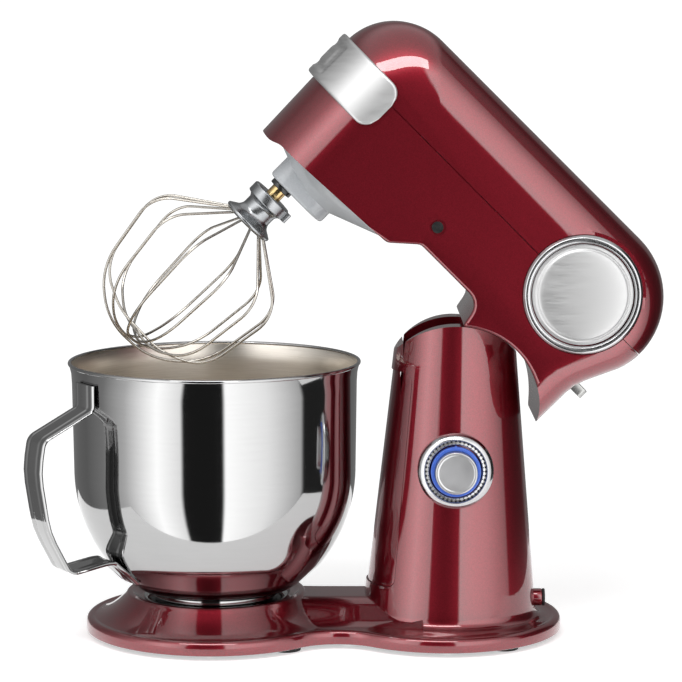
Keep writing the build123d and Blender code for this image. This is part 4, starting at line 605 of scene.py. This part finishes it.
def port_cover():
    """Satin cover that wraps the nose, with a recessed panel across its front."""
    columns, rows = 120, 28
    corner, lip_drop, lip_reach = 12.0, 1.4, 2.2
    outer, inner = [], []
    for i in range(columns + 1):
        angle = pi / 2 + pi * i / columns
        y_out = cover_width * sin(angle)
        from_back = 62 * sin(pi * i / columns) + 0.001
        drop = corner - sqrt(max(0.0, corner ** 2 - max(0.0, corner - from_back) ** 2))
        low, high = cover_low + drop, cover_high - drop
        outer_column, inner_column = [], []
        for k in range(rows + 1):
            t = 0.5 - 0.5 * cos(pi * k / rows)
            z = low + t * (high - low)
            edge = min(z - low, high - z)
            lip = lip_drop * (1 - sqrt(max(0.0, 1 - max(0.0, 1 - edge / lip_reach) ** 2)))
            from_edge = min(z - cover_low, cover_high - z)
            into_panel = min(from_edge - panel_margin, panel_half_width - abs(y_out))
            into_raised = min(from_edge - raised_margin, raised_half_width - abs(y_out))
            sink = panel_depth * ease(into_panel / 1.6 + 0.5)
            depth = lip + sink - raised_height * ease(into_raised / 1.2 + 0.5)
            outer_column.append((nose_centre_x + (cover_length - depth) * cos(angle),
                                 (cover_width - depth) * sin(angle), z))
            inner_column.append((nose_centre_x + cover_inner_length * cos(angle),
                                 cover_inner_width * sin(angle), z))
        outer.append(outer_column)
        inner.append(inner_column)
    rings = [out + inn[::-1] for out, inn in zip(outer, inner)]
    return loft("port_cover_skin", rings, HEAD, crease=40)


finish_part(port_cover(), "port_cover")


# ---- planetary --------------------------------------------------------------------------------------
def planet_carrier():
    """Conical dish and the oblong block that holds the beater shaft."""
    axis = HEAD @ Matrix.Translation((bowl_x, 0, 0))
    dish = rounded([(0, 209.5), (15, 209.5), (55.5, 225.2), (56.5, 227), (56.5, 231), (53.5, 231),
                    (53.5, 228), (14, 212.5), (0, 212.5)], [0, 3, 2, 2, 0.8, 0.8, 1, 2, 0])
    dish_skin = lathe("dish", dish, axis)
    outline, steps = [], 48
    for centre_x, radius, first in ((bowl_x, 16, -pi / 2), (beater_x, 13, pi / 2)):
        for k in range(steps + 1):
            angle = first + pi * k / steps
            outline.append((centre_x + radius * cos(angle), radius * sin(angle)))
    rings = []
    for inset, z in ((2.2, 200.0), (1.2, 200.3), (0.4, 201.0), (0, 202.2), (0, 215), (0, 224)):
        ring = []
        for x, y in outline:
            point = Vector((x, y))
            toward = (Vector((max(min(x, bowl_x), beater_x), 0)) - point).normalized()
            ring.append((*(point + toward * inset), z))
        rings.append(ring)
    block = loft("block", rings, HEAD)
    beater_axis = HEAD @ Matrix.Translation((beater_x, 0, 0))
    combine(block, drill("shaft_way", shaft_way_radius, 195, 240, beater_axis, 64), "DIFFERENCE")
    return join("planet_carrier_skin", [dish_skin, block])


finish_part(planet_carrier(), "planet_carrier")


# ---- whisk ------------------------------------------------------------------------------------------
def whisk():
    """Cast hub and six wire loops that cross at the tip, each a little above the one before."""
    wires = []
    wire_radius, tip_z, tip_step = 1.0, 36.6, 2.2
    for k in range(6):
        turn = radians(15 + 30 * k)
        half = [(15.5, 163), (66, 128), (55, 63), (22, tip_z + tip_step * k)]
        loop = rounded(half + [(-u, z) for u, z in reversed(half)], [0, 26, 52, 54, 54, 52, 26, 0], steps=18)
        path = [(beater_x + u * cos(turn), u * sin(turn), z) for u, z in loop]
        wires.append(tube("wire", path, wire_radius, HEAD))
    finish_part(join("whisk_wires_skin", wires), "whisk_wires")
    axis = HEAD @ Matrix.Translation((beater_x, 0, 0))
    bore_radius, bore_low = 6.2, 165.2
    hub = rounded([(0, 161), (19, 161), (20.5, 162.4), (20.5, 164), (14.2, 168), (12.5, 171),
                   (12.5, 178), (14, 180), (16.7, 181), (16.7, 188.3), (15.7, 189.3),
                   (bore_radius, 189.3), (bore_radius, bore_low), (0, bore_low)],
                  [0, 0.8, 0.8, 1, 4, 4, 2, 1, 1, 0.8, 0.6, 0.5, 0.5, 0])
    body = lathe("hub", hub, axis)
    combine(body, box_cutter("pin_slot", (-1.8, -10, 177.7), (1.8, 10, 195), axis), "DIFFERENCE")
    lug_outline = rounded([(13, -4.5), (20, -4.5), (20, 4.5), (13, 4.5)], 1.5, closed=True)
    lug = prism("lug", lug_outline, 180.8, 188, axis)
    finish_part(join("whisk_hub_skin", [body, lug]), "whisk_hub")


whisk()


# ---- speed dial -------------------------------------------------------------------------------------
dial_lean = atan2(12, 222)          # the column's side leans in 12 mm over its height
dial_place = (84, -46.7, 130.5)
DIAL = Matrix(((1, 0, 0, dial_place[0]), (0, sin(dial_lean), -cos(dial_lean), dial_place[1]),
               (0, cos(dial_lean), sin(dial_lean), dial_place[2]), (0, 0, 0, 1)))
mark_count = 44


def dial():
    """Bezel, marked scale ring, blue light ring and knob."""
    bezel = rounded([(27.9, -9), (27.9, 3.6), (26.2, 6.4), (23.2, 8.0), (22.6, 7.2), (22.6, -9)],
                    [0, 2.2, 3, 0.7, 0.5, 0], closed=True)
    finish_part(lathe("dial_bezel_skin", bezel, DIAL, ring=True), "dial_bezel")
    scale = rounded([(22.5, -8), (22.5, 5.4), (19.5, 6.2), (19.5, -8)], [0, 0.4, 0.6, 0], closed=True)
    pieces = [lathe("scale", scale, DIAL, ring=True)]
    dash = [(21.3, -0.75), (22.45, -0.75), (22.45, 0.75), (21.3, 0.75)]
    dot = [(20.4 + 0.42 * cos(pi * i / 5), 0.42 * sin(pi * i / 5)) for i in range(10)]
    for k in range(mark_count):
        turn = DIAL @ Matrix.Rotation(2 * pi * k / mark_count, 4, "Z")
        for outline, top in ((dash, 6.0), (dot, 6.1)):
            mark = prism("mark", outline, 5.0, top, turn)
            for face in mark.data.polygons:
                face.material_index = 1
            pieces.append(mark)
    finish_part(join("dial_scale_ring_skin", pieces), "dial_scale_ring", extra=[mark_black])
    knob = rounded([(0, 1.2), (18.3, 1.2), (18.3, 3.1), (15.4, 3.1), (15.4, 19.2), (13.6, 19.2),
                    (12.8, 18.9), (0, 19.5)], [0, 0.4, 0.4, 0.2, 1.6, 0.6, 0.6, 0])
    finish_part(lathe("dial_knob_skin", knob, DIAL), "dial_knob")
    glow = rounded([(15.5, 3.2), (18.4, 3.2), (18.4, 10), (15.5, 10)], [0, 0.2, 1.0, 0.8], closed=True)
    pointer = prism("pointer", [(-1.3, 17.6), (1.3, 17.6), (0.7, 19.0), (-0.7, 19.0)], 3.2, 9.6, DIAL)
    ring = join("dial_light_ring_skin", [lathe("glow", glow, DIAL, ring=True), pointer])
    finish_part(bevel(ring, 0.25, 2), "dial_light_ring")


dial()


# ---- base -------------------------------------------------------------------------------------------
plate_end_x, lip_top = 77.0, 14.0
seat_floor, seat_radius, platform_top = 27.0, 56.0, 31.5
column_x, column_shift, column_height = 81.5, 4.0, 222.0       # the column leans back as it rises
column_length, column_width = 65.5, 53.0                       # half sizes at its foot
column_length_draft, column_width_draft = 22.0, 12.0
crown_radius, casting_wall, cheek_gap, cheek_thickness = 57.5, 4.0, 22.5, 5.0


def base_outline(inset):
    """Plan of the base: two round ends joined by the hollow arcs of a waist."""
    waist_x, waist_y, waist_radius = -2.2, 102.5, 40.5
    front, back = 48.0, 127.7
    spans = [((bowl_x, 0), 97.8 - inset, front, 360 - front, 90),
             ((waist_x, -waist_y), waist_radius + inset, 180 - front, 180 - back, 24),
             ((plate_end_x, 0), 89.0 - inset, -back, back, 90),
             ((waist_x, waist_y), waist_radius + inset, back - 180, front - 180, 24)]
    outline = []
    for (x, y), radius, first, last, steps in spans:
        for k in range(steps):
            angle = radians(first + (last - first) * k / steps)
            outline.append((x + radius * cos(angle), y + radius * sin(angle)))
    return outline


def column_front_x(share):
    """Front of the column on its middle line, at a share of its height."""
    return column_x + column_shift * share - (column_length - column_length_draft * share)


def column(name, inset, low, flare=0.0):
    """Tapered oval column under the round crown; flare rounds it out into the base."""
    rings = []
    flare_height, sides = 7, 160
    heights = [low + 0.5 * k for k in range(15)] if flare else [low]
    for z in heights + [lip_top + column_height]:
        share = (z - lip_top) / column_height
        x = column_x + column_shift * share
        t = min(max((z - low) / flare_height, 0), 1) if flare else 1
        out = flare * (1 - sqrt(1 - (1 - t) ** 2)) - inset
        length = column_length - column_length_draft * share + out
        width = column_width - column_width_draft * share + out
        turns = [2 * pi * i / sides for i in range(sides)]
        rings.append([(x + length * cos(a), width * sin(a), z) for a in turns])
    body = loft(name, rings, crease=50)
    crown = crown_radius - inset
    angles = [radians(a) for a in range(0, 181, 2)]
    clip = [(pivot.x + crown * cos(a), pivot.z + crown * sin(a)) for a in angles]
    clip = [(200, 0), (200, pivot.z)] + clip + [(-100, pivot.z), (-100, 0)]
    combine(body, prism("clip", clip, -100, 100, Matrix.Rotation(pi / 2, 4, "X")), "INTERSECT")
    return body


def ridge():
    """Low ridge from the pedestal to the column, wider at both ends."""
    rings = []
    front_x, length, half_width, low, height, flat_share = -50, 110, 52, 12.9, 16.6, 0.3
    for k in range(41):
        x = front_x + length * k / 40
        reach = half_width * (1 + 0.35 * (2 * k / 40 - 1) ** 4)
        ring = [(x, 0, 11.0)]
        for i in range(61):
            y = reach * (i / 30 - 1)
            fall = ease((abs(y) / reach - flat_share) / (1 - flat_share))
            ring.append((x, y, low + height * (1 - fall)))
        rings.append(ring)
    return loft("ridge", rings)


def plate_and_pedestal(middle):
    """Plate with a rolled lip, and the flared pedestal with the bowl's seat."""
    lip = [(0.9, 3.5), (0.2, 4.0), (0, 4.8), (0, 10.0), (0.35, 11.6), (1.2, 12.9), (2.6, 13.7),
           (4.2, lip_top), (5.6, 13.8), (6.8, 13.3), (8.5, 13.0)]
    rings = [[(x, y, z) for x, y in base_outline(inset)] for inset, z in lip]
    body = loft("base_casting_skin", rings, crease=50)
    flare = [(66.5 + 29.5 * k / 20, 12.9 + 18.0 * (1 - k / 20) ** 1.9) for k in range(21)]
    seat = rounded([(0, seat_floor), (seat_radius, seat_floor), (63.0, platform_top), (66.5, 31.2), flare[1]],
                   [0, 0.6, 1.2, 1.6, 0], steps=5)
    combine(body, lathe("pedestal", seat + flare[2:] + [(96, 8), (0, 8)], middle, crease=40), "UNION")
    combine(body, ridge(), "UNION")
    combine(body, drill("seat", seat_radius, seat_floor, 60, middle), "DIFFERENCE")
    return body


def panel_opening():
    """Cutter for the opening behind the column's front panel."""
    gap, foot_z, crown_z, foot_reach, crown_reach = 0.15, 40, 200, 20, 15
    foot_x, crown_x = (column_front_x((z - lip_top) / column_height) for z in (foot_z, crown_z))
    outline = rounded([(foot_x - 10, foot_z - gap), (foot_x + foot_reach + gap, foot_z - gap),
                       (crown_x + crown_reach + gap, crown_z + gap), (crown_x - 10, crown_z + gap)],
                      [0, 7, 7, 0], closed=True)
    return prism("panel_opening", outline, -100, 100, Matrix.Rotation(pi / 2, 4, "X"))


def base():
    """Casting: plate, pedestal, ridge and column, hollow from below, with the head's hinge slot."""
    middle = Matrix.Translation((bowl_x, 0, 0))
    body = plate_and_pedestal(middle)
    combine(body, column("column", 0.0, 12.8, flare=6.0), "UNION")
    behind = Matrix.Translation((0, 0, 25)) @ Matrix.Rotation(pi / 2, 4, "Y")
    boss = rounded([(0, 120), (6.5, 120), (6.5, 152), (0, 152)], [0, 0, 1.2, 0])
    combine(body, lathe("boss", boss, behind, segments=64), "UNION")
    combine(body, prism("hollow", base_outline(3.5), 2.0, 10.5), "DIFFERENCE")
    combine(body, drill("pedestal_hollow", 54.5, 2.0, 23.5, middle), "DIFFERENCE")
    combine(body, column("column_hollow", casting_wall, 8.0), "DIFFERENCE")
    for side in (-1, 1):
        near, far = sorted((side * cheek_gap, side * (cheek_gap + cheek_thickness)))
        cheek = box_cutter("cheek", (26, near, 150), (143, far, 250), LEVEL)
        combine(cheek, column("cheek_form", casting_wall / 2, 8.0), "INTERSECT")
        combine(body, cheek, "UNION")
    combine(body, box_cutter("slot", (46, -cheek_gap, 156.5), (118, cheek_gap, 280), LEVEL), "DIFFERENCE")
    across = Matrix.Translation((pivot.x, 0, pivot.z)) @ Matrix.Rotation(pi / 2, 4, "X")
    combine(body, drill("axle_hole", 5.0, -34.5, 34.5, across, 64), "DIFFERENCE")
    combine(body, panel_opening(), "DIFFERENCE")
    combine(body, drill("dial_hole", 16, -20, 20, DIAL, 64), "DIFFERENCE")
    combine(body, drill("cord_hole", 4.5, 110, 170, behind, 48), "DIFFERENCE")
    tidy(body.data, 40)
    finish_part(bevel(body, 0.6, 3, 45), "base_casting")


base()


# ---- bowl and handle --------------------------------------------------------------------------------
handle_angle = radians(212)


def bowl_profile(offset):
    """Bowl wall from the middle of the floor to the rim, taken in by offset."""
    belly_r, belly_z, reach = -6.5, 125.0, 112.0 - offset
    floor = 33.0 + offset
    edge = belly_r + sqrt(reach ** 2 - (belly_z - floor) ** 2)
    start = 0.72 * atan2(floor - belly_z, edge - belly_r)
    arc = [(belly_r + reach * cos(start * (1 - k / 28)), belly_z + reach * sin(start * (1 - k / 28)))
           for k in range(29)]
    path = rounded([(0, floor), (edge, floor), arc[0]], [0, 24 - offset, 0], steps=14)[:-1] + arc
    path += [(106.4 - offset, 190), (106.9 - offset, 198), (108.4 - offset, 204.2)]
    return path


def bowl():
    """Polished bowl with a rolled rim; the inside has its own brushed finish, coloured lighter as painted light.
    """
    outside, inside = bowl_profile(0), bowl_profile(1.0)
    rim_x, rim_z, roll = 108.0, 205.0, 1.35
    angles = [radians(-60 + 20 * k) for k in range(15)]
    rim = [(rim_x + roll * cos(a), rim_z + roll * sin(a)) for a in angles]
    skin = lathe("bowl_skin", outside + rim + inside[::-1], Matrix.Translation((bowl_x, 0, 0)), segments=192)
    finish_part(skin, "bowl_shell", extra=[bowl_inside_brushed_painted_light])
    axis = Vector((bowl_x * MM, 0))
    lowest, highest = 33.5 * MM, 204.5 * MM
    # faces on the inside get the brushed steel whose lighter colour is painted light
    for face in skin.data.polygons:
        outward = face.center.xy - axis
        inner = outward.dot(face.normal.xy) < 0 or face.normal.z > 0.9
        if inner and lowest <= face.center.z < highest:
            face.material_index = 1


def handle():
    """Bent steel strap with two grooves along it, its plate curved to the bowl's wall."""
    path = rounded([(108.6, 196), (108.6, 178), (147, 159), (151, 136), (144, 92), (127, 59.5),
                    (98, 64), (92.5, 64), (74, 46.5)], [0, 5, 9, 60, 60, 8, 20, 5, 0], steps=10)
    out = Vector((cos(handle_angle), sin(handle_angle), 0))
    side = Vector((sin(handle_angle), -cos(handle_angle), 0))
    up = Vector((0, 0, 1))
    centre = Vector((bowl_x, 0, 0))
    half_width, half_thickness = 14.5, 1.25
    groove_depth, groove_reach, groove_at, edge_reach = 0.55, 2.2, 8.0, 1.2
    section = []
    steps = 28
    for k in range(steps + 1):
        across = -half_width + 2 * half_width * k / steps
        groove = groove_depth * max(0.0, 1 - ((abs(across) - groove_at) / groove_reach) ** 2)
        edge = half_width - abs(across)
        roundness = half_thickness * (1 - sqrt(max(0.0, 1 - max(0.0, 1 - edge / edge_reach) ** 2)))
        section.append((across, half_thickness - groove - roundness))
    section += [(across, -h) for across, h in reversed(section)]
    rings = []
    for k, (r, z) in enumerate(path):
        before, after = path[max(k - 1, 0)], path[min(k + 1, len(path) - 1)]
        along = (Vector(after) - Vector(before)).normalized()
        normal = Vector((-along.y, along.x))
        ring = []
        for across, h in section:
            sag = 0.0
            if z > 174 and r < 112:
                sag = across * across / (2 * 108.0)
            elif r < 98:
                sag = across * across / (2 * max(r, 60))
            point = centre + out * (r - normal.x * h - sag) + up * (z - normal.y * h) + side * across
            ring.append(tuple(point))
        rings.append(ring)
    return loft("bowl_handle_skin", rings, crease=50)


bowl()
finish_part(handle(), "bowl_handle")


# ---- carried-over nodes ---------------------------------------------------------------------------
def dress_nodes():
    """Materials and softened edges on the nodes whose shape is kept."""
    softened = {"column_front_panel": 0.7, "bowl_foot_ring": 0.3, "rubber_feet": 1.0, "lock_lever": 1.4,
                "cord_gland": 0.5, "beater_shaft": 0.4, "beater_collar": 0.5, "beater_pin": 0.2,
                "bottom_cover": 0.4, "outlet_port": 0.4, "bowl_clamp_plate": 0.3, "clamp_screws": 0.3,
                "bottom_screws": 0.3}
    for name, obj in frame["nodes"].items():
        # the head screws get the near-black metal as painted shade of their recesses
        mat = screw_painted_shade if name == "head_screws" else MATERIALS[SLOT_OF[name]]
        if name in softened:
            weld = obj.modifiers.new("weld", "WELD")
            weld.merge_threshold = 0.001 * MM
            bevel(obj, softened[name])
        obj.data.materials.clear()
        obj.data.materials.append(mat)
        obj.data.shade_smooth()
        obj.data.set_sharp_from_angle(angle=radians(30))


dress_nodes()


# ---- light, floor and camera ----------------------------------------------------------------------
def area_light(name, place, target, width, power, depth):
    """Rectangular softbox that faces a target."""
    light = bpy.data.lights.new(name, "AREA")
    light.energy = power
    light.shape = "RECTANGLE"
    light.size = width
    light.size_y = depth
    obj = bpy.data.objects.new(name, light)
    obj.location = place
    obj.rotation_euler = (Vector(target) - Vector(place)).to_track_quat("-Z", "Y").to_euler()
    bpy.context.scene.collection.objects.link(obj)


def grey(level):
    """Opaque grey of a level."""
    return (level, level, level, 1)


def bearing_of(nodes, links, split):
    """Direction round the mixer as 0..1, from the back, past the camera's side in the middle."""
    forward = nodes.new("ShaderNodeMath")
    forward.operation = "MULTIPLY"
    forward.inputs[1].default_value = -1
    links.new(split.outputs["Y"], forward.inputs[0])
    bearing = nodes.new("ShaderNodeMath")
    bearing.operation = "ARCTAN2"
    links.new(split.outputs["X"], bearing.inputs[0])
    links.new(forward.outputs["Value"], bearing.inputs[1])
    turn = nodes.new("ShaderNodeMapRange")
    turn.inputs["From Min"].default_value = -pi
    turn.inputs["From Max"].default_value = pi
    links.new(bearing.outputs["Value"], turn.inputs["Value"])
    return turn.outputs["Result"]


def surroundings():
    """Ring of soft light and dark panels round the mixer, plain white where the camera sees it."""
    world = bpy.data.worlds.new("studio")
    world.use_nodes = True
    nodes, links = world.node_tree.nodes, world.node_tree.links
    place = nodes.new("ShaderNodeTexCoord")
    split = nodes.new("ShaderNodeSeparateXYZ")
    links.new(place.outputs["Generated"], split.inputs["Vector"])
    ramp = nodes.new("ShaderNodeValToRGB")
    links.new(bearing_of(nodes, links, split), ramp.inputs["Fac"])
    # bearing from the camera's side in degrees, positive to the picture's right, and brightness
    panels = [(-180, 0.04), (-125, 0.04), (-100, 0.07), (-75, 0.18), (-45, 0.48), (-25, 0.34),
              (-23, 0.004), (9, 0.004), (11, 0.48), (45, 0.36), (76, 0.16), (79, 0.006),
              (133, 0.006), (137, 0.04), (180, 0.04)]
    stops = ramp.color_ramp.elements
    while len(stops) > 1:
        stops.remove(stops[-1])
    stops[0].position = 0
    stops[0].color = grey(panels[0][1])
    for angle, level in panels[1:]:
        stops.new((angle + 180) / 360).color = grey(level)
    overhead = nodes.new("ShaderNodeMapRange")
    overhead.interpolation_type = "SMOOTHSTEP"
    overhead.inputs["From Min"].default_value = 0.55
    overhead.inputs["From Max"].default_value = 0.85
    links.new(split.outputs["Z"], overhead.inputs["Value"])
    blend = nodes.new("ShaderNodeMix")
    blend.data_type = "RGBA"
    blend.inputs["B"].default_value = grey(0.14)
    links.new(overhead.outputs["Result"], blend.inputs["Factor"])
    links.new(ramp.outputs["Color"], blend.inputs["A"])
    lit = nodes["Background"]
    lit.inputs["Strength"].default_value = 5.0
    links.new(blend.outputs["Result"], lit.inputs["Color"])
    seen = nodes.new("ShaderNodeBackground")
    seen.inputs["Color"].default_value = grey(1)
    seen.inputs["Strength"].default_value = 1.1
    rays = nodes.new("ShaderNodeLightPath")
    choice = nodes.new("ShaderNodeMixShader")
    links.new(rays.outputs["Is Camera Ray"], choice.inputs["Fac"])
    links.new(lit.outputs["Background"], choice.inputs[1])
    links.new(seen.outputs["Background"], choice.inputs[2])
    links.new(choice.outputs["Shader"], nodes["World Output"].inputs["Surface"])
    bpy.context.scene.world = world
    bpy.context.scene.view_settings.view_transform = "Standard"


def white_floor():
    """Table top just larger than the picture, so that it doesn't fill the reflections."""
    side, front = 420, -170
    corners = [(-side, front, 0), (side, front, 0), (side, side, 0), (-side, side, 0)]
    floor = solid("floor", corners, [(0, 1, 2, 3)])
    mat, nodes, links, shader = material("floor_white", (0.9, 0.9, 0.9), 0.0, 0.6)
    shader.inputs["Emission Color"].default_value = (1, 1, 1, 1)
    shader.inputs["Emission Strength"].default_value = 0.5
    floor.data.materials.append(mat)


def camera():
    """Long lens, slightly above the mixer and looking a little down."""
    data = bpy.data.cameras.new("camera")
    data.lens, data.sensor_width = 135.1, 36
    distance, height, look_down = 1.8959, 0.4675, 7.43
    obj = bpy.data.objects.new("camera", data)
    obj.location = (0, -distance, height)
    obj.rotation_euler = (radians(90 - look_down), 0, 0)
    bpy.context.scene.collection.objects.link(obj)
    bpy.context.scene.camera = obj


surroundings()
area_light("softbox_top", (-0.2, -0.9, 1.5), (0, 0, 0.3), 1.2, 9, 0.35)
white_floor()
camera()
